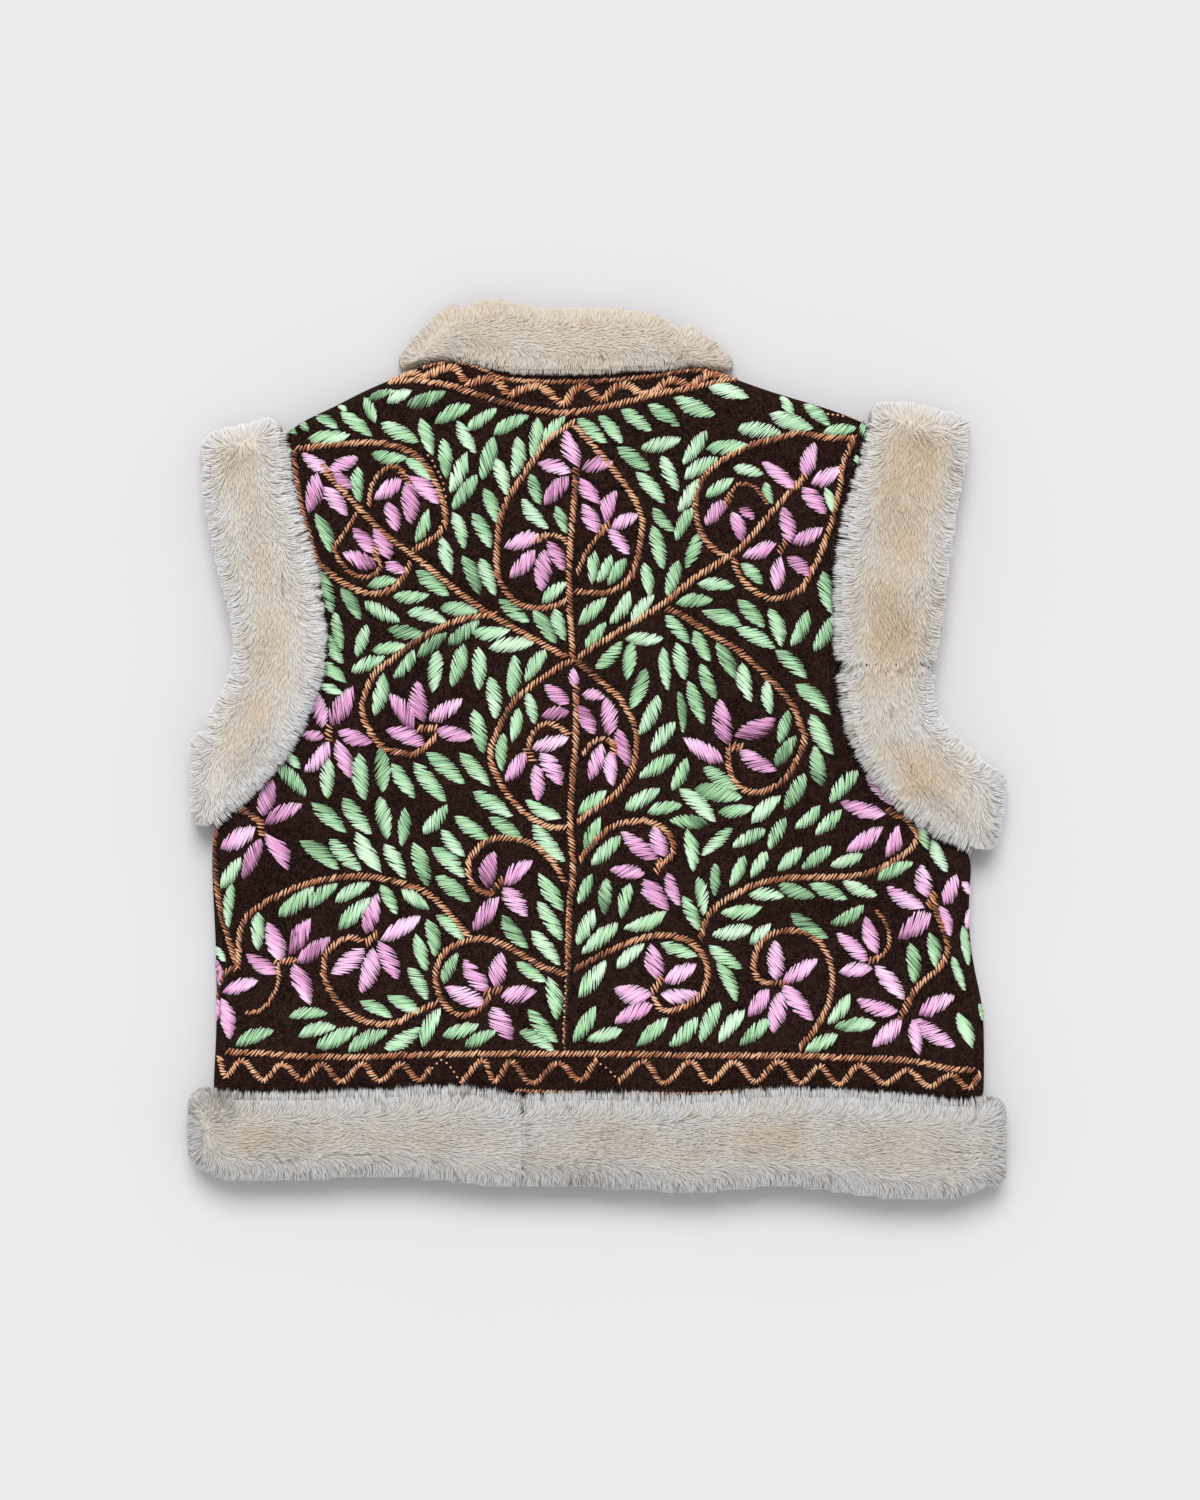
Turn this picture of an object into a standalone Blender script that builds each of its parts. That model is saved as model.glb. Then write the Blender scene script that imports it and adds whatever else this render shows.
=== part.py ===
"""Embroidered suede waistcoat with fur trim, laid flat with its back upward.

The back panel lies on the two front panels. Strips of fur trim the neck, the armholes and the
hem. Each strip lies on the back, folds round at the garment's side or shoulder, and goes on
underneath along the front. X runs to the wearer's right, Y to the collar and Z up. The
garment rests on z = 0. Lengths in this script are millimetres until the meshes are made.
"""

import bmesh
import bpy
import numpy as np

METRES = 0.001

# Suede
WALL = 1.8
SEAM_GAP = 0.3
HALF_GAP = SEAM_GAP / 2

# Fur: how far the pile stands off its skin
TRIM_PILE = 16.35
COLLAR_PILE = 10.85

# The seam surface halfway between back and front: its height under the fur and between it
TRIM_LEVEL = TRIM_PILE + HALF_GAP
COLLAR_LEVEL = COLLAR_PILE + HALF_GAP
LOW_LEVEL = WALL + HALF_GAP
DIP_REACH = 92.0
LEVEL_BLEND = 6
COLLAR_HALF_WIDTH = 26.0
SLOPE_AIR = 1.4
AIR_AT_FOOT = 10
AIR_AT_HEAD = 4

# The rounded fold at the sides and shoulders
FOLD_LIFT = 4.6
FOLD_ROUND = 8.0
FOLD_REACH = 35.0
FOLD_LIP = 1.2
FOLD_HALF_GAP = 0.65

# The centre front, where the two front panels meet
CENTRE_X = -20.5
CENTRE_GAP = 0.5

# Where the strips' joints lie, and how their ends are rounded off there
HEM_JOINT_X = -50.5
ARMHOLE_JOINT_Y = 55.0
JOINT_GAP = 0.6
JOINT_REACH = 7.0
JOINT_NOTCH = 4.0

# Shares of the way along a panel's edges. They are close together where a fold rounds it, and
# the rows below a shoulder are the ones under the stack's share
FOLD_SHARES = (0.0, 0.0008, 0.0024, 0.0075, 0.0180, 0.0450, 0.0900, 0.1500)
STACK_SHARE = 0.08
SHOULDER_SHARE = 0.21
NECK_STEPS = 12
FRONT_STEPS = 5
FRONT_NECK_ROW = 15
SIDE_SHARE = 0.35
SIDE_STEPS = 8
ARMHOLE_STEPS = 12
FOLD_STEPS = 6
LEAST_STEP = 6.0
CURVE_STEPS = 12
HEM_SAMPLES = 201

# The armholes from the shoulder to the underarm: where the trim is sewn on, and its free edge
ARMHOLE_COLUMNS = ("seam_x", "seam_y", "free_x", "free_y")
LEFT_ARMHOLE = (
    (-205, 205, -257, 184),
    (-203, 188, -260, 173),
    (-201, 170, -258, 159),
    (-196, 153, -254, 141),
    (-190, 135, -251, 124),
    (-185, 117, -248, 107),
    (-180, 99, -244, 91),
    (-177, 81, -242, 75),
    (-177, 64, -241, 58),
    (-182, 46, -243, 44),
    (-188, 29, -247, 36),
    (-195, 12, -252, 30),
    (-204, -4, -255, 25),
    (-216, -18, -257, 20),
    (-232, -33, -256, 16),
    (-252, -51, -252, 13),
)
RIGHT_ARMHOLE = (
    (174, 212, 237, 201),
    (170, 195, 239, 187),
    (166, 179, 237, 170),
    (161, 162, 235, 155),
    (158, 144, 231, 138),
    (155, 126, 228, 122),
    (152, 107, 226, 104),
    (152, 90, 225, 89),
    (153, 73, 222, 72),
    (154, 56, 218, 56),
    (157, 39, 215, 42),
    (158, 23, 218, 29),
    (162, 7, 224, 19),
    (170, -8, 231, 10),
    (182, -25, 239, 3),
    (199, -42, 245, -1),
    (220, -57, 249, -5),
    (243, -66, 251, -9),
)

# The side folds, x and y from the underarm down to the hem
LEFT_SIDE = ((-252, -51), (-253, -78), (-252, -98), (-251, -130), (-250, -182), (-252, -222))
RIGHT_SIDE = ((243, -66), (240, -100), (242, -130), (246, -150), (250, -169), (250, -226))

# The shoulder folds, x and y from the armhole to the neck
LEFT_SHOULDER = ((-205, 205), (-192, 215), (-172, 224), (-153, 235), (-130, 244))
RIGHT_SHOULDER = ((174, 212), (150, 222), (130, 228), (110, 234), (86, 243))

# The hem: where the suede ends and the trim begins, and the trim's free edge
HEM_COLUMNS = ("x", "seam_y", "free_y")
HEM = (
    (-252, -222, -277),
    (-240, -223, -281),
    (-195, -223, -281),
    (-162, -223, -278),
    (-130, -221, -278),
    (-104, -219, -280),
    (-78, -221, -284),
    (-46, -225, -285),
    (0, -223, -285),
    (32, -224, -287),
    (65, -226, -289),
    (98, -222, -285),
    (130, -220, -284),
    (150, -222, -285),
    (176, -223, -292),
    (208, -226, -294),
    (234, -228, -292),
    (250, -226, -284),
)

# The collar: where it is sewn on, and its free edge. The front rows go down to the centre front
COLLAR_COLUMNS = ("seam_x", "seam_y", "free_x", "free_y")
COLLAR_CORNER_GAP = 3.2
COLLAR_BACK = (
    (-130, 244, -88, 286),
    (-114, 251, -84, 291),
    (-101, 254, -78, 294),
    (-81, 251, -65, 295),
    (-65, 246, -52, 291),
    (-46, 244, -36, 289),
    (-21, 244, -18, 289),
    (3, 245, 0, 289),
    (26, 247, 20, 288),
    (49, 248, 36, 285),
    (65, 249, 45, 281),
    (75, 247, 49, 279),
    (86, 243, 52, 276),
)
COLLAR_FRONT_LEFT = (
    (-130, 244, -88, 286),
    (-131, 228, -92, 259),
    (-125, 203, -87, 233),
    (-109, 183, -76, 216),
    (-83, 169, -60, 208),
    (-52, 162, -40, 205),
    (-21, 161, -21, 204),
)
COLLAR_FRONT_RIGHT = (
    (86, 243, 52, 276),
    (88, 227, 49, 255),
    (81, 203, 44, 231),
    (65, 183, 33, 216),
    (40, 169, 17, 208),
    (10, 162, -1, 205),
    (-20, 161, -20, 204),
)

# The section of a strip of fur: how far from its seam edge, or before its free edge where
# from_free is 1, and which share of the pile's height
SECTION_COLUMNS = ("across", "from_free", "height_share")
SECTION = (
    (2.0, 0, 0.0),
    (6.0, 1, 0.0),
    (1.5, 1, 0.18),
    (0.0, 1, 0.50),
    (2.5, 1, 0.80),
    (9.0, 1, 0.97),
    (18.0, 1, 1.0),
    (12.0, 0, 1.0),
    (5.0, 0, 0.92),
    (1.5, 0, 0.70),
    (0.0, 0, 0.30),
)
FOLD_SKIN = 1.0

SUEDE = ("dark brown suede", (0.024, 0.011, 0.008), 0.95)
FUR = ("cream sheepskin", (0.62, 0.53, 0.42), 0.9)


def column(rows, names, *wanted):
    """The wanted columns of a table, as an array with a row for each row of the table."""
    places = [names.index(name) for name in wanted]
    return np.array(rows, float)[:, places]


def smooth_line(points, shares):
    """Points at these shares of the length of a smooth curve through the given points."""
    points = np.asarray(points, float)
    ends = (2 * points[:1] - points[1:2], 2 * points[-1:] - points[-2:-1])
    padded = np.concatenate((ends[0], points, ends[1]))
    fine = []
    for first, second, third, fourth in zip(padded, padded[1:], padded[2:], padded[3:]):
        for t in np.linspace(0, 1, CURVE_STEPS, endpoint=False):
            fine.append(
                0.5 * (2 * second + (third - first) * t
                       + (2 * first - 5 * second + 4 * third - fourth) * t ** 2
                       + (3 * second - first - 3 * third + fourth) * t ** 3)
            )
    fine = np.array(fine + [points[-1]])
    steps = np.linalg.norm(np.diff(fine[:, :2], axis=0), axis=1)
    along = np.concatenate(((0,), np.cumsum(steps))) / steps.sum()
    return np.stack([np.interp(shares, along, fine[:, k]) for k in range(fine.shape[1])], axis=1)


def distance(points, line):
    """How far each point is from an open line of straight pieces."""
    line = np.asarray(line, float)
    nearest = np.full(len(points), np.inf)
    for start, end in zip(line, line[1:]):
        along = end - start
        share = np.clip((points - start) @ along / (along @ along), 0, 1)
        gap = np.linalg.norm(points - start - share[:, None] * along, axis=1)
        nearest = np.minimum(nearest, gap)
    return nearest


def ease(share):
    """0 to 1 with level ends."""
    share = np.clip(share, 0, 1)
    return share * share * (3 - 2 * share)


def panel_rows():
    """Shares up a panel: the side from the hem to the underarm, then the armhole."""
    side = np.linspace(0, SIDE_SHARE, SIDE_STEPS + 1)
    near_shoulder = 1 - np.array([share for share in FOLD_SHARES if share < STACK_SHARE][::-1])
    armhole = np.linspace(SIDE_SHARE, near_shoulder[0], ARMHOLE_STEPS + 1)[1:]
    return np.concatenate((side, armhole, near_shoulder[1:])), len(side)


SEAM = ("seam_x", "seam_y")
FREE = ("free_x", "free_y")
ROWS, SIDE_COUNT = panel_rows()
BACK_SHOULDER = np.array([share for share in FOLD_SHARES if share < SHOULDER_SHARE] + [SHOULDER_SHARE])
BACK_NECK = np.linspace(SHOULDER_SHARE, 1 - SHOULDER_SHARE, NECK_STEPS + 1)[1:-1]
BACK_COLUMNS = np.concatenate((BACK_SHOULDER, BACK_NECK, 1 - BACK_SHOULDER[::-1]))
FRONT_FOLD = 2 * np.array(FOLD_SHARES)
FRONT_COLUMNS = np.concatenate((FRONT_FOLD, np.linspace(FRONT_FOLD[-1], 1, FRONT_STEPS + 1)[1:]))
FOLD_LINES = (LEFT_SIDE, RIGHT_SIDE, LEFT_SHOULDER, RIGHT_SHOULDER)


def edge_pair(table, names, shares, seam=SEAM, free=FREE):
    """A strip's seam edge and free edge at these shares of its seam's length."""
    lines = smooth_line(column(table, names, *seam, *free), shares)
    return lines[:, :2], lines[:, 2:]


def armhole_lines(table):
    """The armhole's two edges at the panels' rows, from the shoulder down to the underarm."""
    return edge_pair(table, ARMHOLE_COLUMNS, (1 - ROWS[SIDE_COUNT - 1:][::-1]) / (1 - SIDE_SHARE))


def hem_lines(shares):
    return edge_pair(HEM, HEM_COLUMNS, shares, ("x", "seam_y"), ("x", "free_y"))


def side_edge(side, armhole):
    """A panel's side, from the hem up the side fold and round the armhole to the shoulder."""
    lower = smooth_line(side[::-1], ROWS[:SIDE_COUNT] / SIDE_SHARE)
    return np.concatenate((lower[:-1], armhole_lines(armhole)[0][::-1]))


def front_neck(table):
    """The front neckline's two edges at the panels' rows, from the centre up to the shoulder."""
    rows = ROWS[FRONT_NECK_ROW:]
    seam, free = edge_pair(table, COLLAR_COLUMNS, (1 - rows[::-1]) / (1 - rows[0]))
    return seam[::-1], free[::-1]


def fold_distance(points):
    return np.min([distance(points, line) for line in FOLD_LINES], axis=0)


def fold_lift(points):
    """How far each layer stands off the seam surface beside a rounded fold."""
    return FOLD_LIFT * (1 - ease((fold_distance(points) - FOLD_ROUND) / FOLD_REACH))


def fur_rise(points):
    """How far the fur round the edges raises the seam surface, and the share from 0 to 1 of
    the nearest fur's own level that this is. The rise fades out over the dip's reach."""
    trims = [column(table, ARMHOLE_COLUMNS, *SEAM) for table in (LEFT_ARMHOLE, RIGHT_ARMHOLE)]
    trims.append(column(HEM, HEM_COLUMNS, "x", "seam_y"))
    collars = [
        (column(table, COLLAR_COLUMNS, *SEAM) + column(table, COLLAR_COLUMNS, *FREE)) / 2
        for table in (COLLAR_BACK, COLLAR_FRONT_LEFT, COLLAR_FRONT_RIGHT)
    ]
    from_trim = np.min([distance(points, line) for line in trims], axis=0)
    from_collar = np.min([distance(points, line) for line in collars], axis=0) - COLLAR_HALF_WIDTH
    trim_share = ease(1 - from_trim / DIP_REACH)
    collar_share = ease(1 - from_collar / DIP_REACH)
    trim_rise = (TRIM_LEVEL - LOW_LEVEL) * trim_share
    collar_rise = (COLLAR_LEVEL - LOW_LEVEL) * collar_share
    rise = (trim_rise ** LEVEL_BLEND + collar_rise ** LEVEL_BLEND) ** (1 / LEVEL_BLEND)
    return rise, np.maximum(trim_share, collar_share)


def panel_height(points, on_fold, side):
    """Height of a panel's outer face. The seam surface lies low where only suede lies. The
    layers part a little where it slopes. At a fold they part more and turn over to meet."""
    rise, near_fur = fur_rise(points)
    lift = fold_lift(points)
    level = LOW_LEVEL + rise + lift * (1 - near_fur ** 2)
    climbed = rise / (TRIM_LEVEL - LOW_LEVEL)
    air = SLOPE_AIR * np.clip(AIR_AT_FOOT * climbed, 0, 1) * np.clip(AIR_AT_HEAD * (1 - climbed), 0, 1)
    turn = np.clip(fold_distance(points) / FOLD_ROUND, 0, 1)
    round_over = np.sqrt(1 - (1 - turn) ** 2)
    outward = HALF_GAP + FOLD_LIP + (WALL - FOLD_LIP + air + lift) * round_over
    return level + side * np.where(on_fold, FOLD_HALF_GAP, outward)


def spanned(bottom, top, left, right, across):
    """A grid of points stretched between four edges, a row for each share up the panel."""
    u = across[None, :, None]
    v = ROWS[:, None, None]
    edges = (1 - v) * bottom[None] + v * top[None] + (1 - u) * left[:, None] + u * right[:, None]
    corners = (
        (1 - u) * (1 - v) * bottom[0] + u * (1 - v) * bottom[-1]
        + (1 - u) * v * top[0] + u * v * top[-1]
    )
    return edges - corners


def stand_on_fold(grid, on_fold):
    """Moves what is next to a fold's edge right over that edge, so that the panel's rim
    stands upright there and meets the other layer's rim."""
    every = slice(None)
    for edge, next_in in (((every, 0), (every, 1)), ((every, -1), (every, -2)), ((-1, every), (-2, every))):
        grid[next_in] = np.where(on_fold[edge][:, None], grid[edge], grid[next_in])
    return grid


def new_object(name, points, faces, material, collection):
    mesh = bpy.data.meshes.new(name)
    mesh.from_pydata((points * METRES).tolist(), [], faces)
    mesh.shade_smooth()
    mesh.materials.append(material)
    made = bpy.data.objects.new(name, mesh)
    collection.objects.link(made)
    return made


def panel(name, side, grid, on_fold, material, collection):
    """A suede panel: an open face over the grid, thickened inward. Side is 1 for the back,
    which lies over the seam surface, and -1 for a front, which lies under it."""
    flat = stand_on_fold(grid, on_fold).reshape(-1, 2)
    height = panel_height(flat, on_fold.reshape(-1), side)
    rows, columns = on_fold.shape
    corners = [(r * columns + c, r * columns + c + 1) for r in range(rows - 1) for c in range(columns - 1)]
    faces = [(a, b, b + columns, a + columns)[::side] for a, b in corners]
    made = new_object(name, np.column_stack((flat, height)), faces, material, collection)
    wall = made.modifiers.new("wall", "SOLIDIFY")
    wall.thickness = WALL * METRES
    wall.offset = -1
    wall.use_even_offset = True
    wall.use_quality_normals = True


def back_panel(material, collection):
    neck = edge_pair(COLLAR_BACK, COLLAR_COLUMNS, np.linspace(0, 1, NECK_STEPS + 1))[0]
    left_shoulder = smooth_line(LEFT_SHOULDER, BACK_SHOULDER / SHOULDER_SHARE)
    right_shoulder = smooth_line(RIGHT_SHOULDER, BACK_SHOULDER / SHOULDER_SHARE)[::-1]
    grid = spanned(
        hem_lines(BACK_COLUMNS)[0],
        np.concatenate((left_shoulder, neck[1:-1], right_shoulder)),
        side_edge(LEFT_SIDE, LEFT_ARMHOLE),
        side_edge(RIGHT_SIDE, RIGHT_ARMHOLE),
        BACK_COLUMNS,
    )
    on_fold = np.zeros(grid.shape[:2], bool)
    on_fold[:SIDE_COUNT, (0, -1)] = True
    on_fold[-1, :len(left_shoulder)] = True
    on_fold[-1, -len(right_shoulder):] = True
    panel("back", 1, grid, on_fold, material, collection)


def centre_share():
    """Where the centre front comes along the hem."""
    shares = np.linspace(0, 1, HEM_SAMPLES)
    return np.interp(CENTRE_X, hem_lines(shares)[0][:, 0], shares)


def front_hem(wearers_side):
    """Shares of the hem's length at a front panel's columns, from its side to the centre."""
    if wearers_side == "left":
        return centre_share() * FRONT_COLUMNS
    return 1 - (1 - centre_share()) * FRONT_COLUMNS


def front_panel(wearers_side, side, shoulder, armhole, neck_table, material, collection):
    """The neckline and the centre front are one edge here, opposite the side and armhole."""
    inner = CENTRE_X + CENTRE_GAP / 2 * (-1 if wearers_side == "left" else 1)
    hem = hem_lines(front_hem(wearers_side))[0]
    neck = front_neck(neck_table)[0]
    hem[-1, 0] = neck[0, 0] = inner
    up_centre = (ROWS[:FRONT_NECK_ROW] / ROWS[FRONT_NECK_ROW])[:, None]
    centre = np.concatenate((hem[-1] + up_centre * (neck[0] - hem[-1]), neck))
    top = smooth_line(shoulder, FRONT_COLUMNS)
    grid = spanned(hem, top, side_edge(side, armhole), centre, FRONT_COLUMNS)
    on_fold = np.zeros(grid.shape[:2], bool)
    on_fold[:SIDE_COUNT, 0] = True
    on_fold[-1] = True
    if wearers_side == "right":
        grid = grid[:, ::-1]
        on_fold = on_fold[:, ::-1]
    panel("front_" + wearers_side, -1, grid, on_fold, material, collection)


def thinned(*lines):
    """Leaves out the stations that lie too close together to matter along a strip of fur."""
    kept = [0]
    for place in range(1, len(lines[0]) - 1):
        from_last = np.linalg.norm(lines[0][place] - lines[0][kept[-1]])
        to_end = np.linalg.norm(lines[0][place] - lines[0][-1])
        if from_last > LEAST_STEP and to_end > LEAST_STEP:
            kept.append(place)
    kept.append(len(lines[0]) - 1)
    return [line[kept] for line in lines]


def cut_at(seam, free, axis, value):
    """A strip's two edges in two lengths, parted by a joint where the seam passes the value.
    Each length also gives how much its free edge draws in toward the joint."""
    along = np.concatenate(((0,), np.cumsum(np.linalg.norm(np.diff(seam, axis=0), axis=1))))
    order = np.argsort(seam[:, axis])
    joint = np.interp(value, seam[order, axis], along[order])
    lengths = []
    for way in (-1, 1):
        ends = joint + way * np.array((JOINT_GAP / 2, JOINT_REACH))
        kept = along[way * (along - joint) > LEAST_STEP / 4]
        places = np.unique(np.concatenate((kept, ends)))
        edges = [
            np.column_stack([np.interp(places, along, line[:, k]) for k in (0, 1)])
            for line in (seam, free)
        ]
        drawn_in = JOINT_NOTCH * np.clip(1 - np.abs(places - joint) / JOINT_REACH, 0, 1)
        lengths.append((*edges, drawn_in))
    return lengths


def flat_run(seam, free, side, drawn_in=None):
    """Stations of a strip that lies flat: its edges, the way its pile points, its skin's
    distance from the seam surface, and how much its free edge draws in."""
    pile = np.array((0, 0, side), float)
    drawn_in = np.zeros(len(seam)) if drawn_in is None else drawn_in
    return [(s, f, pile, HALF_GAP, d) for s, f, d in zip(seam, free, drawn_in)]


def folded_run(last, before, side):
    """Stations where a strip turns over at its last flat one, from this side to the other."""
    seam, free = last[0], last[1]
    across = (free - seam) / np.linalg.norm(free - seam)
    away = np.array((-across[1], across[0], 0))
    if away[:2] @ (seam + free - before[0] - before[1]) < 0:
        away = -away
    stations = []
    for angle in np.linspace(0, np.pi, FOLD_STEPS + 1)[1:-1]:
        pile = np.cos(angle) * np.array((0, 0, side)) + np.sin(angle) * away
        stations.append((seam, free, pile, HALF_GAP + FOLD_SKIN * np.sin(angle), 0))
    return stations


def strip(name, stations, level, material, collection):
    """A strip of fur: its section set across each station in turn, closed at both ends."""
    offsets, from_free, shares = column(SECTION, SECTION_COLUMNS, *SECTION_COLUMNS).T
    rings = []
    for seam, free, pile, skin, drawn_in in stations:
        width = np.linalg.norm(free - seam)
        across = (free - seam) / width
        places = np.where(from_free == 1, width - drawn_in - offsets, SEAM_GAP + offsets)
        heights = skin + shares * (level - skin)
        rings.append(
            np.array((*seam, level)) + places[:, None] * np.array((*across, 0)) + heights[:, None] * pile
        )
    points = np.concatenate(rings)
    count = len(shares)
    faces = [
        (r * count + k, r * count + (k + 1) % count, (r + 1) * count + (k + 1) % count, (r + 1) * count + k)
        for r in range(len(rings) - 1)
        for k in range(count)
    ]
    faces += [tuple(range(count)), tuple(range(len(points) - count, len(points)))]
    made = new_object(name, points, faces, material, collection)
    whole = bmesh.new()
    whole.from_mesh(made.data)
    bmesh.ops.recalc_face_normals(whole, faces=whole.faces)
    whole.to_mesh(made.data)
    whole.free()


def armhole_trim(wearers_side, table, joint_side, material, collection):
    """A strip all round the armhole. It starts below its joint, turns over at the underarm,
    goes up the other side, turns over at the shoulder and comes down to the joint."""
    seam, free = thinned(*armhole_lines(table))
    upper, lower = cut_at(seam, free, 1, ARMHOLE_JOINT_Y)
    down = flat_run(*lower[:2], joint_side, lower[2])
    up = flat_run(seam[::-1], free[::-1], -joint_side)
    down_again = flat_run(*upper[:2], joint_side, upper[2])
    stations = down + folded_run(down[-1], down[-2], joint_side) + up
    stations += folded_run(up[-1], up[-2], -joint_side) + down_again
    strip("armhole_" + wearers_side, stations, TRIM_LEVEL, material, collection)


def hem_trim(wearers_side, back_length, material, collection):
    """A strip from the joint in the back to the side, turned over there, and on along the
    front to the centre."""
    seam, free = thinned(*hem_lines(front_hem(wearers_side)))
    centre_gap = CENTRE_GAP / 2 * (-1 if wearers_side == "left" else 1)
    seam[-1, 0] = free[-1, 0] = CENTRE_X + centre_gap
    back = flat_run(*back_length[:2], 1, back_length[2])
    if wearers_side == "left":
        back = back[::-1]
    front = flat_run(seam, free, -1)
    stations = back + folded_run(back[-1], back[-2], 1) + front
    strip("hem_" + wearers_side, stations, TRIM_LEVEL, material, collection)


def collar(material, collection):
    """One strip from the left centre front, up over the left shoulder, round the back of the
    neck and down to the right centre front."""
    left = thinned(*front_neck(COLLAR_FRONT_LEFT))
    right = thinned(*front_neck(COLLAR_FRONT_RIGHT))
    middle = edge_pair(COLLAR_BACK, COLLAR_COLUMNS, np.linspace(0, 1, NECK_STEPS + 1))
    for seam, free in ((left[0][-1], left[1][-1]), (right[0][-1], right[1][-1]),
                       (middle[0][0], middle[1][0]), (middle[0][-1], middle[1][-1])):
        seam += COLLAR_CORNER_GAP * (free - seam) / np.linalg.norm(free - seam)
    up = flat_run(*left, -1)
    round_back = flat_run(*middle, 1)
    down = flat_run(*right, -1)[::-1]
    stations = up + folded_run(round_back[0], round_back[1], -1) + round_back
    stations += folded_run(round_back[-1], round_back[-2], 1) + down
    strip("collar", stations, COLLAR_LEVEL, material, collection)


def make_material(name, colour, roughness):
    material = bpy.data.materials.new(name)
    material.use_nodes = True
    shader = material.node_tree.nodes["Principled BSDF"]
    shader.inputs["Base Color"].default_value = (*colour, 1)
    shader.inputs["Roughness"].default_value = roughness
    shader.inputs["Metallic"].default_value = 0
    return material


def main():
    for thing in list(bpy.data.objects):
        bpy.data.objects.remove(thing)
    collection = bpy.data.collections.new("embroidered waistcoat")
    bpy.context.scene.collection.children.link(collection)
    suede = make_material(*SUEDE)
    fur = make_material(*FUR)
    back_panel(suede, collection)
    front_panel("left", LEFT_SIDE, LEFT_SHOULDER, LEFT_ARMHOLE, COLLAR_FRONT_LEFT, suede, collection)
    front_panel("right", RIGHT_SIDE, RIGHT_SHOULDER, RIGHT_ARMHOLE, COLLAR_FRONT_RIGHT, suede, collection)
    armhole_trim("left", LEFT_ARMHOLE, -1, fur, collection)
    armhole_trim("right", RIGHT_ARMHOLE, 1, fur, collection)
    left_length, right_length = cut_at(*thinned(*hem_lines(BACK_COLUMNS)), 0, HEM_JOINT_X)
    hem_trim("left", left_length, fur, collection)
    hem_trim("right", right_length, fur, collection)
    collar(fur, collection)


main()
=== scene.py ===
import math

import bmesh
import bpy
import numpy as np
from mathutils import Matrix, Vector
from mathutils.bvhtree import BVHTree
from mathutils.kdtree import KDTree


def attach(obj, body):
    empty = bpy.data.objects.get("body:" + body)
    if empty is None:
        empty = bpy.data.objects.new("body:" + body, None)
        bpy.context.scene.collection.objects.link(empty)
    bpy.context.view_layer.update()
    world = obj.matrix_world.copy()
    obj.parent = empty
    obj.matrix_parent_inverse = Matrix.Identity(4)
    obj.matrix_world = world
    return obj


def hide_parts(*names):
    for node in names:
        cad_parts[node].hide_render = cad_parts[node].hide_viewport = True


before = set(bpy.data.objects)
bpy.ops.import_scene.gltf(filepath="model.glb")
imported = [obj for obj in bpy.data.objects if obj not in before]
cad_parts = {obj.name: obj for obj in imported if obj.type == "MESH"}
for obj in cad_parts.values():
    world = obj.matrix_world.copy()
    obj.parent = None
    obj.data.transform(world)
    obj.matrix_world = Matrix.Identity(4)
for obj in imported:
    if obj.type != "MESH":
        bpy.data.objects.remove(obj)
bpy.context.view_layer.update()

# Embroidered suede waistcoat with sheepskin trim, laid flat with its back up.
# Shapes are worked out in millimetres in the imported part's own frame and scaled when a mesh is made.
mm = 0.001
dice = np.random.default_rng(41)
colourMix = {"data_type": "RGBA"}     # what makes a Mix node mix colours


# small helpers

def linear(hexColour):
    # sRGB hex to linear light
    parts = [int(hexColour[i:i + 2], 16) / 255 for i in (1, 3, 5)]
    return [p / 12.92 if p <= 0.04045 else ((p + 0.055) / 1.055) ** 2.4 for p in parts] + [1]


def addNode(tree, kind, settings, links):
    # links gives each input a value, or the output that feeds it
    node = tree.nodes.new("ShaderNode" + kind)
    for name, value in settings.items():
        setattr(node, name, value)
    for name, value in links.items():
        if isinstance(value, bpy.types.NodeSocket):
            tree.links.new(value, node.inputs[name])
        else:
            node.inputs[name].default_value = value
    return node


def startMaterial(name, shaderValues):
    material = bpy.data.materials.new(name)
    material.use_nodes = True
    tree = material.node_tree
    shader = tree.nodes["Principled BSDF"]
    for key, value in shaderValues.items():
        shader.inputs[key].default_value = value
    return material, tree, shader


def ease(share):
    # 3 times the share's square less 2 times its cube, with the share kept from 0 to 1
    share = np.clip(share, 0, 1)
    return share * share * (3 - 2 * share)


def unit(vectors):
    # each vector over its own length
    return vectors / np.maximum(np.linalg.norm(vectors, axis=-1, keepdims=True), 1e-9)


def leftOf(way):
    # a plan direction turned a quarter to the left
    return np.stack((-way[:, 1], way[:, 0]), axis=-1)


def pairs(numbers):
    # a flat row of x, y, x, y as points
    return np.array(numbers, float).reshape(-1, 2)


def nearness(plan, x, y, radius):
    # e to minus the squared distance from the place over the squared radius
    return np.exp(-((plan - (x, y)) ** 2).sum(1) / radius ** 2)


def offStretch(plan, x0, y0, x1, y1):
    # distance from the nearest place on the straight stretch between two points
    start, way = np.array((x0, y0), float), np.array((x1 - x0, y1 - y0), float)
    share = np.clip((plan - start) @ way / (way @ way), 0, 1)
    return np.linalg.norm(plan - start - share[:, None] * way, axis=1)


def slowWaves(plan, size, seed):
    # a smooth uneven field from about -1 to 1: six sines of plan distance in turned directions, added up
    turn = np.random.default_rng(seed)
    total = np.zeros(len(plan))
    for _ in range(6):
        angle, phase, stretch = turn.uniform(0, math.pi), turn.uniform(0, 2 * math.pi), turn.uniform(0.6, 1.6)
        total += np.sin((plan @ (math.cos(angle), math.sin(angle))) * 2 * math.pi / (size * stretch) + phase)
    return total / 2.6


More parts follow.
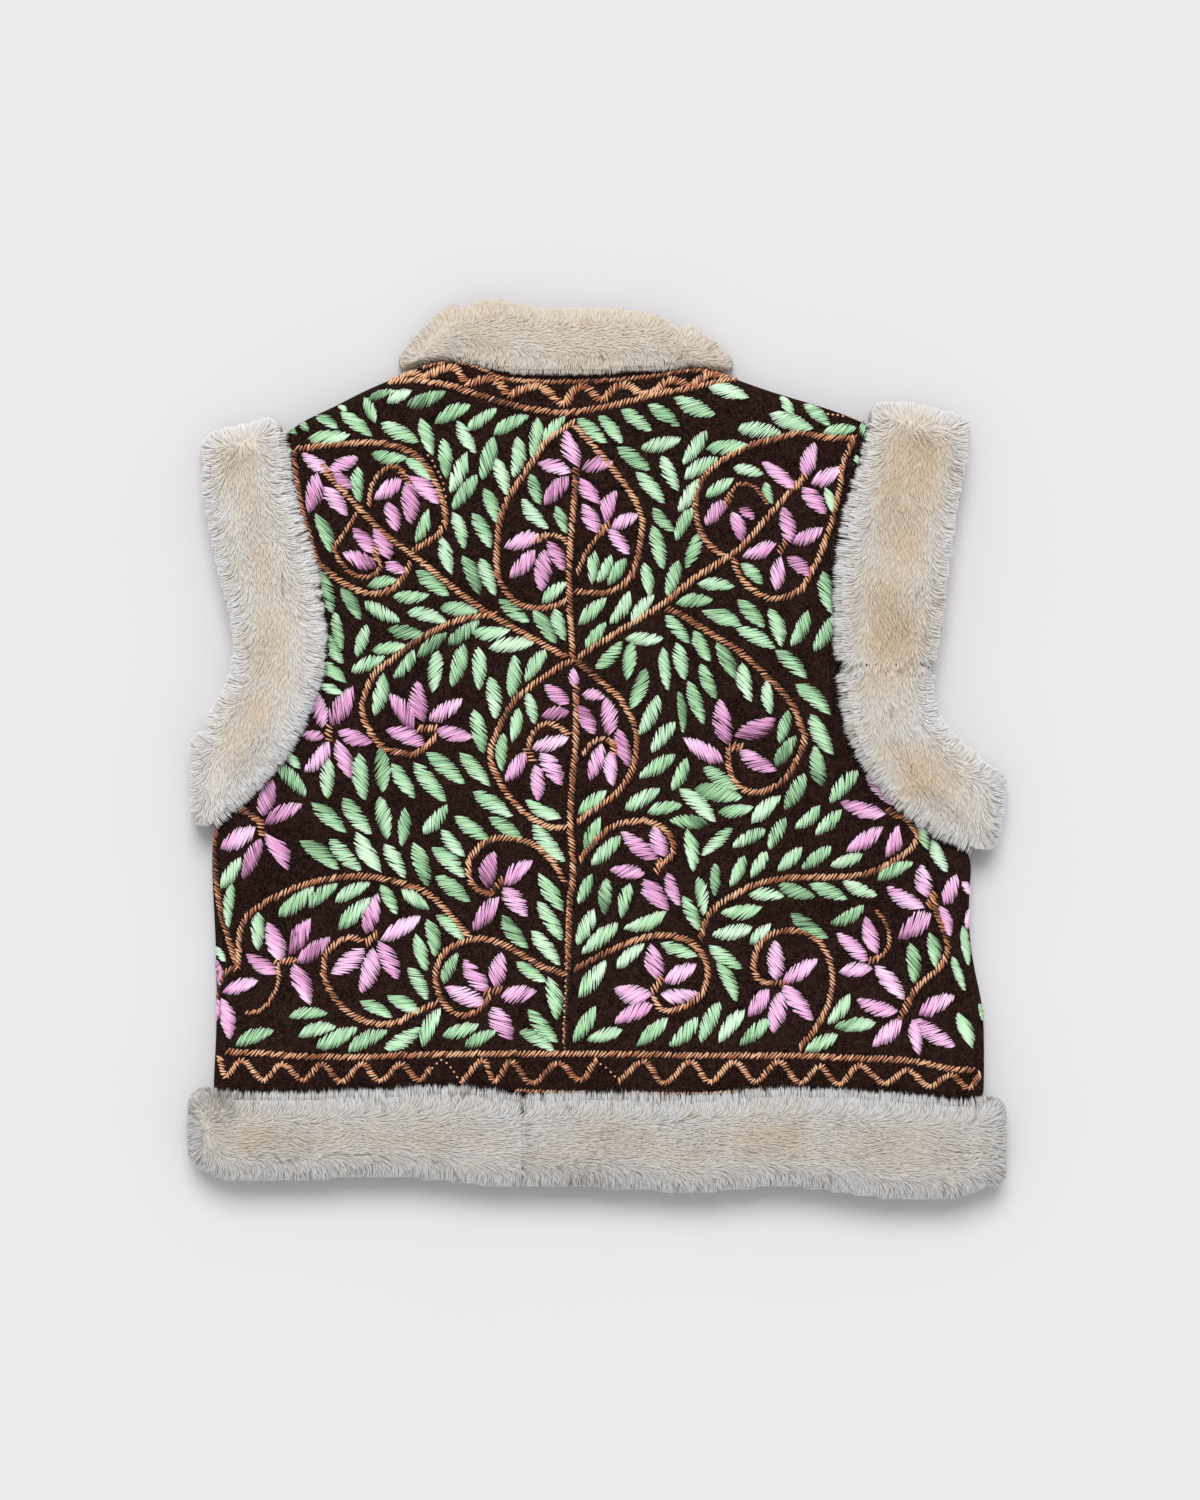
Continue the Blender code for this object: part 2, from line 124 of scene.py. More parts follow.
def smoothLine(points, step):
    # Catmull-Rom curve through the points, cut again into equal steps of its length
    points = np.array(points, float)
    padded = np.concatenate((2 * points[:1] - points[1:2], points, 2 * points[-1:] - points[-2:-1]))
    t = np.linspace(0, 1, 24, endpoint=False)[:, None]
    spans = [
        0.5 * (2 * b + (c - a) * t + (2 * a - 5 * b + 4 * c - d) * t ** 2 + (3 * b - a - 3 * c + d) * t ** 3)
        for a, b, c, d in zip(padded, padded[1:], padded[2:], padded[3:])
    ]
    fine = np.concatenate(spans + [points[-1:]])
    along = np.concatenate(((0,), np.cumsum(np.linalg.norm(np.diff(fine, axis=0), axis=1))))
    places = np.linspace(0, along[-1], max(2, int(round(along[-1] / step)) + 1))
    return np.column_stack([np.interp(places, along, fine[:, k]) for k in (0, 1)])


def makeFinder(places):
    # finds the nearest of the places, each given as three numbers
    finder = KDTree(len(places))
    for number, place in enumerate(places):
        finder.insert(place, number)
    finder.balance()
    return finder


def faceTree(meshes):
    # all faces of the meshes in one tree for rays, in metres
    corners, faces = [], []
    for mesh in meshes:
        faces += [[number + len(corners) for number in p.vertices] for p in mesh.polygons]
        corners += [v.co for v in mesh.vertices]
    return BVHTree.FromPolygons(corners, faces)


def meshPoints(mesh, what="co"):
    values = np.empty(len(mesh.vertices) * 3, np.float32)
    mesh.vertices.foreach_get(what, values)
    return values.reshape(-1, 3).astype(float)


def newPiece(name, points, faceSets, material, uv=None, normals=None):
    # a mesh from whole arrays: points in mm, faces as arrays of point numbers, one array for each face size
    mesh = bpy.data.meshes.new(name)
    sizes = np.concatenate([np.full(len(faces), faces.shape[1]) for faces in faceSets])
    corners = np.concatenate([faces.ravel() for faces in faceSets]).astype(np.int32)
    mesh.vertices.add(len(points))
    mesh.vertices.foreach_set("co", (points * mm).astype(np.float32).ravel())
    mesh.loops.add(len(corners))
    mesh.loops.foreach_set("vertex_index", corners)
    mesh.polygons.add(len(sizes))
    mesh.polygons.foreach_set("loop_start", np.concatenate(((0,), np.cumsum(sizes)[:-1])).astype(np.int32))
    mesh.update(calc_edges=True)
    mesh.shade_smooth()
    if uv is not None:
        layer = mesh.uv_layers.new(name="OFBake")
        layer.data.foreach_set("uv", uv[corners].astype(np.float32).ravel())
    if normals is not None:
        mesh.normals_split_custom_set_from_vertices(normals.astype(np.float32))
    mesh.materials.append(material)
    made = bpy.data.objects.new(name, mesh)
    bpy.context.scene.collection.objects.link(made)
    return made


def standFor(piece, node, points, material):
    # moves the copy's points to their new places in mm, and puts it in its node's place
    piece.data.vertices.foreach_set("co", (points * mm).astype(np.float32).ravel())
    piece.data.update()
    piece.data.materials.clear()
    piece.data.materials.append(material)
    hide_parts(node)
    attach(piece, "root")
    return piece


# materials

def suedeMaterial():
    # Sheepskin suede, dyed dark brown and brushed: almost no gloss, a soft nap that shifts in tone
    # where it has been stroked, and a fine grain. Fibres of 0.1 mm are drawn about 1 mm apart to show.
    material, tree, shader = startMaterial("dark brown suede", {
        "Roughness": 0.95, "Sheen Weight": 0.02, "Sheen Roughness": 0.4, "Sheen Tint": linear("#5a3a30"),
        "Specular IOR Level": 0.06})
    place = addNode(tree, "TexCoord", {}, {}).outputs["Object"]
    # stroked patches about 22 mm across, tufts of 4 mm and fibres of 1 mm: noise cells to a metre
    stroked, plush, fibre = (
        addNode(tree, "TexNoise", {}, {"Vector": place, "Scale": cells, "Detail": fine, "Roughness": rough}).outputs[0]
        for cells, fine, rough in ((45, 6, 0.65), (260, 4, 0.7), (950, 2, 0.7)))
    colour = linear("#040100")
    for pattern, low, high, most, lighter in ((stroked, 0.32, 0.68, 1.0, "#1b0d09"), (plush, 0.44, 0.7, 0.6, "#36231d"),
                                              (fibre, 0.48, 0.72, 0.55, "#543b33")):
        share = addNode(tree, "MapRange", {}, {"Value": pattern, 1: low, 2: high, 3: 0.0, 4: most})
        colour = addNode(tree, "Mix", colourMix, {0: share.outputs[0], 6: colour, 7: linear(lighter)}).outputs[2]
    tree.links.new(colour, shader.inputs["Base Color"])
    bump = addNode(tree, "Bump", {}, {"Strength": 0.6, "Distance": 0.0006, "Height": fibre})
    soft = addNode(tree, "Bump", {}, {"Strength": 0.6, "Distance": 0.002, "Height": plush, "Normal": bump.outputs[0]})
    tree.links.new(soft.outputs[0], shader.inputs["Normal"])
    return material


def flossMaterial(name, dark, middle, light, roughness):
    # Shiny viscose floss: the piece's own map gives each thread its tone, from painted shade in the valleys
    # between threads to painted highlights on the ridges and at the ends that point up, toward the light
    material, tree, shader = startMaterial(name, {
        "Roughness": roughness, "Sheen Weight": 0.12, "Sheen Roughness": 0.35, "Specular IOR Level": 0.45})
    uv = addNode(tree, "SeparateXYZ", {}, {"Vector": addNode(tree, "UVMap", {"uv_map": "OFBake"}, {}).outputs[0]})
    tone = linear(dark)
    for low, high, lighter in ((0.0, 0.5, middle), (0.5, 1.0, light)):
        share = addNode(tree, "MapRange", {}, {"Value": uv.outputs["X"], 1: low, 2: high})
        tone = addNode(tree, "Mix", colourMix, {0: share.outputs[0], 6: tone, 7: linear(lighter)}).outputs[2]
    tree.links.new(tone, shader.inputs["Base Color"])
    return material


def woolMaterial(name, hairs, shade):
    # Combed sheepskin, undyed: soft cream wool, faintly tan along the middle of a strip and whiter and
    # cooler toward its edges. The hairs' own map gives the tone across and root to tip up: low down and
    # in partings, where the upper value is small, painted shade makes the wool darker.
    def dyed(hexColour):
        return [shade * part for part in linear(hexColour)[:3]] + [1]

    material, tree, shader = startMaterial(name, {
        "Roughness": 0.9, "Sheen Weight": 0.2, "Sheen Roughness": 0.6, "Specular IOR Level": 0.15})
    if hairs:
        uv = addNode(tree, "SeparateXYZ", {}, {"Vector": addNode(tree, "UVMap", {"uv_map": "OFBake"}, {}).outputs[0]})
        tip = addNode(tree, "MapRange", {}, {"Value": uv.outputs["Y"], 1: 0.25, 2: 0.9})
        tan, cream, white = (
            addNode(tree, "Mix", colourMix, {0: tip.outputs[0], 6: dyed(low), 7: dyed(high)}).outputs[2]
            for low, high in (("#dcc4a4", "#e9d4ba"), ("#e0d7c9", "#f0eae0"), ("#dedddc", "#f4f5f8")))
        colour = tan
        for low, high, whiter in ((0.0, 0.45, cream), (0.45, 0.9, white)):
            share = addNode(tree, "MapRange", {}, {"Value": uv.outputs["X"], 1: low, 2: high})
            colour = addNode(tree, "Mix", colourMix, {0: share.outputs[0], 6: colour, 7: whiter}).outputs[2]
        # painted shade: low in the pile, where the upper value is small, the colour is multiplied toward grey brown
        depth = addNode(tree, "MapRange", {}, {"Value": uv.outputs["Y"], 1: 0.0, 2: 0.3})
        shadow = addNode(tree, "Mix", colourMix, {0: depth.outputs[0], 6: linear("#9c8d7f"), 7: linear("#ffffff")})
        colour = addNode(tree, "Mix", {**colourMix, "blend_type": "MULTIPLY"},
                         {0: 1.0, 6: colour, 7: shadow.outputs[2]}).outputs[2]
    else:
        # tufts of underwool about 6 mm across
        place = addNode(tree, "TexCoord", {}, {}).outputs["Object"]
        tufts = addNode(tree, "TexNoise", {}, {"Vector": place, "Scale": 160, "Detail": 4, "Roughness": 0.65})
        tufts = tufts.outputs[0]
        colour = addNode(tree, "Mix", colourMix, {0: tufts, 6: dyed("#d8ccbc"), 7: dyed("#e8e0d4")}).outputs[2]
        bump = addNode(tree, "Bump", {}, {"Strength": 0.4, "Distance": 0.001, "Height": tufts})
        tree.links.new(bump.outputs[0], shader.inputs["Normal"])
    tree.links.new(colour, shader.inputs["Base Color"])
    return material


suede = suedeMaterial()
greenFloss = flossMaterial("mint green viscose floss", "#1d4418", "#a9d9a6", "#e2f8df", 0.4)
pinkFloss = flossMaterial("pink viscose floss", "#64183f", "#eca9d7", "#ffe0f8", 0.4)
orangeFloss = flossMaterial("copper orange cotton thread", "#280c04", "#c26e3c", "#ffd2a6", 0.5)
print("materials made")


# camera, light and floor

studio = {
    "cameraHeight": 2.6,      # metres above the floor, looking straight down
    "frameTall": 0.975,       # metres of the garment's own level that the frame's long side takes in
    "garmentLevel": 0.022,
    "sensor": 36,
    "keyStrength": 2.1, "keySpread": 30, "keyPlace": (-0.04, 0.95, 1.5),
    "skyColour": "#f4f5f8", "skyStrength": 0.72,
    "floorReach": 3000,       # mm from the middle to each side
}


def setStudio():
    scene = bpy.context.scene
    camera = bpy.data.cameras.new("camera")
    camera.sensor_width = studio["sensor"]
    camera.lens = studio["sensor"] * (studio["cameraHeight"] - studio["garmentLevel"]) / studio["frameTall"]
    seat = bpy.data.objects.new("camera", camera)
    seat.location = (0, 0, studio["cameraHeight"])
    scene.collection.objects.link(seat)
    scene.camera = seat
    # one broad lamp far off past the collar: even over the whole floor, with soft shadows below the hem
    lamp = bpy.data.lights.new("key", "SUN")
    lamp.energy = studio["keyStrength"]
    lamp.angle = math.radians(studio["keySpread"])
    key = bpy.data.objects.new("key", lamp)
    key.location = studio["keyPlace"]
    key.rotation_euler = (-Vector(studio["keyPlace"])).to_track_quat("-Z", "Y").to_euler()
    scene.collection.objects.link(key)
    world = bpy.data.worlds.new("studio")
    world.use_nodes = True
    world.node_tree.nodes["Background"].inputs["Color"].default_value = linear(studio["skyColour"])
    world.node_tree.nodes["Background"].inputs["Strength"].default_value = studio["skyStrength"]
    scene.world = world
    scene.view_settings.view_transform = "Standard"
    # matt backdrop paper, whose tone drifts by a shade over a hand's width
    paper, tree, shader = startMaterial("pale grey paper", {"Roughness": 0.95, "Specular IOR Level": 0.1})
    place = addNode(tree, "TexCoord", {}, {}).outputs["Object"]
    drift = addNode(tree, "TexNoise", {}, {"Vector": place, "Scale": 6}).outputs[0]
    colour = addNode(tree, "Mix", colourMix, {0: drift, 6: linear("#d8d6d7"), 7: linear("#dad8d9")})
    tree.links.new(colour.outputs[2], shader.inputs["Base Color"])
    corners = np.array([(-1, -1, 0), (1, -1, 0), (1, 1, 0), (-1, 1, 0)], float) * studio["floorReach"]
    newPiece("paperFloor", corners, [np.array([[0, 1, 2, 3]])], paper)


setStudio()
print("camera, light and floor set")


# suede panels

panels = {
    "smoothing": 2,
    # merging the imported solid's corners: distance in metres, and the largest angles that a joined pair may have
    "merge": 0.00002, "faceAngle": 0.7, "shapeAngle": 3.1,
    # soft ridges: from x, y to x, y, height, half width
    "ridges": (
        (-205, -60, -160, -35, 1.6, 9), (-60, 30, -35, -60, 1.1, 10), (60, 70, 95, 20, 1.3, 12),
        (150, -60, 195, -95, 1.8, 9), (-120, 90, -80, 140, 0.9, 11), (20, -150, 75, -165, 1.2, 8),
        (-175, -175, -110, -190, 1.0, 7), (200, -140, 215, -185, 1.5, 8), (35, 170, 70, 205, 1.2, 12),
        (-220, -110, -200, -160, 1.4, 8), (110, 120, 125, 60, 1.0, 9), (-10, -120, 40, -95, 0.8, 12),
    ),
}


def softCopy(node, name, levels):
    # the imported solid's own form, merged into one surface and rounded by subdivision
    whole = bmesh.new()
    whole.from_mesh(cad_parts[node].data)
    bmesh.ops.remove_doubles(whole, verts=whole.verts, dist=panels["merge"])
    bmesh.ops.join_triangles(whole, faces=whole.faces, angle_face_threshold=panels["faceAngle"],
                             angle_shape_threshold=panels["shapeAngle"])
    bmesh.ops.recalc_face_normals(whole, faces=whole.faces)
    mesh = bpy.data.meshes.new(name)
    whole.to_mesh(mesh)
    whole.free()
    piece = bpy.data.objects.new(name, mesh)
    bpy.context.scene.collection.objects.link(piece)
    rounding = piece.modifiers.new("rounding", "SUBSURF")
    rounding.levels = rounding.render_levels = levels
    bpy.context.view_layer.update()
    rounded = bpy.data.meshes.new_from_object(piece.evaluated_get(bpy.context.evaluated_depsgraph_get()))
    piece.modifiers.clear()
    piece.data = rounded
    rounded.name = name
    rounded.shade_smooth()
    return piece


def suedePanel(node, name):
    # each ridge adds its height times e to minus the squared distance from its line over its squared width
    piece = softCopy(node, name, panels["smoothing"])
    points = meshPoints(piece.data) / mm
    points[:, 2] += sum(height * np.exp(-(offStretch(points[:, :2], *ends) / width) ** 2)
                        for *ends, height, width in panels["ridges"])
    return standFor(piece, node, points, suede)


back = suedePanel("back", "backSuede")
frontLeft = suedePanel("front_left", "frontLeftSuede")
frontRight = suedePanel("front_right", "frontRightSuede")
print("suede panels laid")


# the faces that stitches and hairs are set on

# the grid's step and margin and where its rays start, in mm. Where a thread goes round the edge: the steps
# past the outline from which that counts, how clear of the wall it stays, and the shares of its lift out and up
grid = {"step": 2.0, "margin": 26, "rayTop": 200, "edgeSteps": 0.6, "edgeClear": 0.9, "liftOut": 0.6, "liftUp": 0.3}


def layField(pieces):
    # heights of the pieces' upper face on a grid, in mm, by a ray straight down into each cell. Cells off the
    # pieces hold the nearest outline point and how far off it they are, and those on them how far in.
    tree = faceTree([piece.data for piece in pieces])
    points = np.concatenate([meshPoints(piece.data) for piece in pieces]) / mm
    low, high = points.min(0)[:2] - grid["margin"], points.max(0)[:2] + grid["margin"]
    xs, ys = np.arange(low[0], high[0], grid["step"]), np.arange(low[1], high[1], grid["step"])
    height = np.full((len(ys), len(xs)), np.nan)
    for row, y in enumerate(ys):
        for column, x in enumerate(xs):
            hit = tree.ray_cast(Vector((x * mm, y * mm, grid["rayTop"] * mm)), Vector((0, 0, -1)))[0]
            if hit is not None:
                height[row, column] = hit.z / mm
    on = ~np.isnan(height)
    rim = on & ~(np.roll(on, 1, 0) & np.roll(on, -1, 0) & np.roll(on, 1, 1) & np.roll(on, -1, 1))
    rimRows, rimColumns = np.nonzero(rim)
    finder = makeFinder([(xs[column], ys[row], 0) for row, column in zip(rimRows, rimColumns)])
    beyond, edge = np.zeros(height.shape), np.zeros(height.shape)
    nearest = np.stack(np.meshgrid(xs, ys), axis=-1)
    for row, column in np.ndindex(height.shape):
        place, number, distance = finder.find((xs[column], ys[row], 0))
        if on[row, column]:
            edge[row, column] = distance
        else:
            beyond[row, column] = distance
            nearest[row, column] = place[:2]
            height[row, column] = height[rimRows[number], rimColumns[number]]
    return {"xs": xs, "ys": ys, "height": height, "on": on.astype(float), "beyond": beyond,
            "nearest": nearest, "edge": edge}


def readField(field, values, plan):
    # the four cells round each point, weighted by nearness
    across = np.clip((plan[:, 0] - field["xs"][0]) / grid["step"], 0, len(field["xs"]) - 1.001)
    up = np.clip((plan[:, 1] - field["ys"][0]) / grid["step"], 0, len(field["ys"]) - 1.001)
    c, r = across.astype(int), up.astype(int)
    u, v = across - c, up - r
    if values.ndim == 3:
        u, v = u[:, None], v[:, None]
    return ((values[r, c] * (1 - u) + values[r, c + 1] * u) * (1 - v)
            + (values[r + 1, c] * (1 - u) + values[r + 1, c + 1] * u) * v)


backField = layField([back])
print("back's face measured")


def overBack(plan):
    return readField(backField, backField["on"], plan) > 0.5


def settle(plan, lift):
    # a point goes straight up onto the back's face. One past the outline goes round the edge and down by as much
    height, beyond, nearest = (readField(backField, backField[what], plan) for what in ("height", "beyond", "nearest"))
    over = beyond > grid["edgeSteps"] * grid["step"]
    away = unit(plan - nearest)
    flat = np.where(over[:, None], nearest + away * (grid["liftOut"] * lift + grid["edgeClear"])[:, None], plan)
    drop = np.where(over, beyond, 0)
    return np.column_stack((flat, height + (np.where(over, grid["liftUp"] * lift, lift) - drop)))


# stitches

threads = {
    # a thread's height and width at its stations, as shares of the whole
    "rise": {3: (0.25, 1, 0.25), 4: (0.1, 1, 1, 0.1), 5: (0.08, 0.8, 1, 0.8, 0.08)},
    "girth": {3: (0.5, 1, 0.5), 4: (0.55, 1, 1, 0.55), 5: (0.5, 0.95, 1, 0.95, 0.5)},
    "flank": 1.15,              # how far below the ridge a foot lies, over the half width
    # the light's direction in plan: thread ends that point this way get a painted highlight
    "bright": (-0.45, 0.9),     # the plan direction whose ends shine
    # the painted highlight on a thread's ridge, and a small shift between its two feet's tones
    "ridgeHighlight": 0.1, "footShift": 0.015,
}


def threadArrays(starts, ends, width, height, tone, stations, valleyShade=0.3, litEndHighlight=0.42):
    # A thread runs from start to end. At share t its ridge stands at height times its profile,
    # and its cross-section is a low triangle: left foot, ridge, right foot. Painted shade darkens its feet by the
    # valley shade, and a painted highlight lightens its ridge. The end that lies toward the light gets a painted
    # highlight as strong as the lit-end highlight, and the other end painted shade a third as strong.
    count = len(starts)
    shares = np.linspace(0, 1, stations)
    rise, girth = np.array(threads["rise"][stations]), np.array(threads["girth"][stations])
    width, height, tone = (np.broadcast_to(np.asarray(value, float), count) for value in (width, height, tone))
    way = unit(ends - starts)
    aside = leftOf(way)[:, None]
    spine = starts[:, None] + shares[None, :, None] * (ends - starts)[:, None]
    half = 0.5 * width[:, None] * girth
    plan = np.stack((spine + aside * half[..., None], spine, spine - aside * half[..., None]), axis=2)
    ridge = height[:, None] * rise
    foot = ridge - threads["flank"] * half
    points = settle(plan.reshape(-1, 2), np.stack((foot, ridge, foot), axis=2).reshape(-1))
    # painted highlight at the end that points toward the light, painted shade a third as strong at the other end
    lit = np.clip(0.5 + way @ threads["bright"], 0, 1)[:, None]
    atStart, atEnd = np.maximum(1 - 3 * shares, 0), np.maximum(3 * shares - 2, 0)
    litEndHighlight = litEndHighlight * ((1.33 * lit - 0.33) * atEnd + (1 - 1.33 * lit) * atStart)
    # each thread's tone, with painted shade at its feet and a painted highlight on its ridge
    u = (tone[:, None] + litEndHighlight)[..., None] + np.array(
        (-valleyShade - threads["footShift"], threads["ridgeHighlight"], threads["footShift"] - valleyShade))
    v = shares[None, :, None] + np.zeros((count, 1, 3)) + np.array((0.0, 0.004, 0.0))
    uv = np.clip(np.stack((u, v), axis=-1).reshape(-1, 2), 0.002, 0.998)
    begin = np.arange(count) * stations * 3
    finish = begin + (stations - 1) * 3
    first = begin[:, None] + np.arange(stations - 1)[None] * 3
    sides = [
        np.stack((first + a, first + b, first + b + 3, first + a + 3), axis=-1).reshape(-1, 4)
        for a, b in ((0, 1), (1, 2), (2, 0))
    ]
    caps = np.concatenate((np.stack((begin, begin + 2, begin + 1), axis=-1),
                           np.stack((finish + 2, finish, finish + 1), axis=-1)))
    return points, np.concatenate(sides), caps, uv


def stitchPiece(name, material, batches):
    # joins batches of threads into one piece
    starts = np.cumsum([0] + [len(batch[0]) for batch in batches])
    quads, caps = (np.concatenate([batch[k] + start for batch, start in zip(batches, starts)]) for k in (1, 2))
    points, uvs = (np.concatenate([batch[k] for batch in batches]) for k in (0, 3))
    made = newPiece(name, points, [quads, caps], material, uvs)
    print(name, 2 * len(quads) + len(caps), "triangles")
    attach(made, "root")
    return made


satin = {
    "spacing": 1.32, "threadWidth": 1.34, "height": 1.5, "stations": 4,
    "ends": (0.6, 0.75), "widestAt": 0.444,         # how blunt the seed shape is at its start and its end
    "slantScatter": 3.5, "toneScatter": 0.11,
    "crossing": 0.2, "reaches": (0.86, 1.12), "widths": (0.86, 1.08),      # random: place on the axis, reach, width
}


def satinMotif(x, y, heading, length, breadth, tones, slant, bend, skew):
    # A seed shape filled with slanting threads, a little blunter at its start than at its end. Half breadth at
    # share a of the axis is breadth / 2 times a^0.6 (1 - a)^0.75 over that product's highest value.
    # A thread crosses the axis at its own share and runs out to both edges, and its ends are uneven.
    angle = math.radians(heading)
    along = np.array((math.cos(angle), math.sin(angle)))
    aside = np.array((-along[1], along[0]))
    count = max(6, int(length / satin["spacing"]))
    share = 0.02 + 0.96 * (np.arange(count) + 0.5 + dice.uniform(-satin["crossing"], satin["crossing"], count)) / count
    reach = 1 / np.tan(np.radians(slant + dice.normal(0, satin["slantScatter"], count))) / length
    blunt, sharp = satin["ends"]
    peak = satin["widestAt"] ** blunt * (1 - satin["widestAt"]) ** sharp

    def halfBreadth(a):
        a = np.clip(a, 0.015, 0.985)
        return 0.5 * breadth * a ** blunt * (1 - a) ** sharp / peak

    ends = []
    for way, part in ((1, 1 + skew), (-1, 1 - skew)):
        out = halfBreadth(share)
        for _ in range(4):
            out = 0.5 * out + 0.5 * part * halfBreadth(share + way * out * reach)
        out = out * dice.uniform(*satin["reaches"], count) + 0.3
        a = np.clip(share + way * out * reach, -0.02, 1.02)
        curve = bend * length * 4 * a * (1 - a)
        ends.append(np.array((x, y)) + (a - 0.5)[:, None] * length * along + (way * out + curve)[:, None] * aside)
    first, last = tones
    tone = first + (last - first) * share + dice.normal(0, satin["toneScatter"], count)
    width = satin["threadWidth"] * dice.uniform(*satin["widths"], count)
    return threadArrays(ends[1], ends[0], width, satin["height"], tone, satin["stations"])


rope = {
    "spacing": 2.4, "wide": 4.7, "slant": 46, "threadWidth": 1.75, "height": 2.1, "fullHeightAt": 4.6, "stations": 5,
    # painted shade in the valleys between strands, and the painted highlight at the ends toward the light
    "valleyShade": 0.64, "litEndHighlight": 0.72,
    "turnScatter": 0.12, "placeScatter": 0.18, "reaches": (0.82, 1.14), "widths": (0.85, 1.08),
    # the tone goes up by toneLift, drifts along the line by toneDrift over driftLength, and jumps by toneScatter
    "toneLift": 0.19, "toneDrift": 0.24, "driftLength": 44, "toneScatter": 0.22,
}


def ropeLine(points, tone, wide=rope["wide"], slant=rope["slant"], spacing=rope["spacing"]):
    # Stitches follow each other along the line and cross it at the slant, like the strands of a cord.
    # Each is as long as the line is wide over the sine of the slant, and stands highest in its middle.
    line = smoothLine(points, spacing)
    count = len(line)
    way = unit(np.gradient(line, axis=0))
    turn = math.radians(slant) + dice.normal(0, rope["turnScatter"], count)[:, None]
    lean = way * np.cos(turn) + leftOf(way) * np.sin(turn)
    half = 0.5 * (wide - 0.5) / np.sin(turn) * dice.uniform(*rope["reaches"], count)[:, None]
    centre = line + dice.normal(0, rope["placeScatter"], line.shape)
    tones = (tone + rope["toneLift"] + rope["toneDrift"] * slowWaves(line, rope["driftLength"], 7)
             + dice.normal(0, rope["toneScatter"], count))
    width = rope["threadWidth"] * dice.uniform(*rope["widths"], count)
    height = rope["height"] * (0.8 + 0.2 * wide / rope["fullHeightAt"])
    return threadArrays(centre - lean * half, centre + lean * half, width, height, tones,
                        rope["stations"], rope["valleyShade"], rope["litEndHighlight"])


def eyeStitches(x, y, heading, length):
    # the thick end of a stem at a flower's middle
    reach = 0.5 * length * np.array((math.cos(math.radians(heading)), math.sin(math.radians(heading))))
    return ropeLine(((x, y) - reach, (x, y) + reach), 0.45, wide=5.6, slant=62)


dot = {"spacing": 4.0, "reach": 0.8, "width": 1.7, "height": 3.0, "placeScatter": 0.15, "toneScatter": 0.08}


def dotLine(points, tone):
    # short bright stitches in a row, apart from each other
    line = smoothLine(points, dot["spacing"])
    reach = unit(np.gradient(line, axis=0)) * dot["reach"]
    centre = line + dice.normal(0, dot["placeScatter"], line.shape)
    tones = tone + dice.normal(0, dot["toneScatter"], len(line))
    return threadArrays(centre - reach, centre + reach, dot["width"], dot["height"], tones, 3)
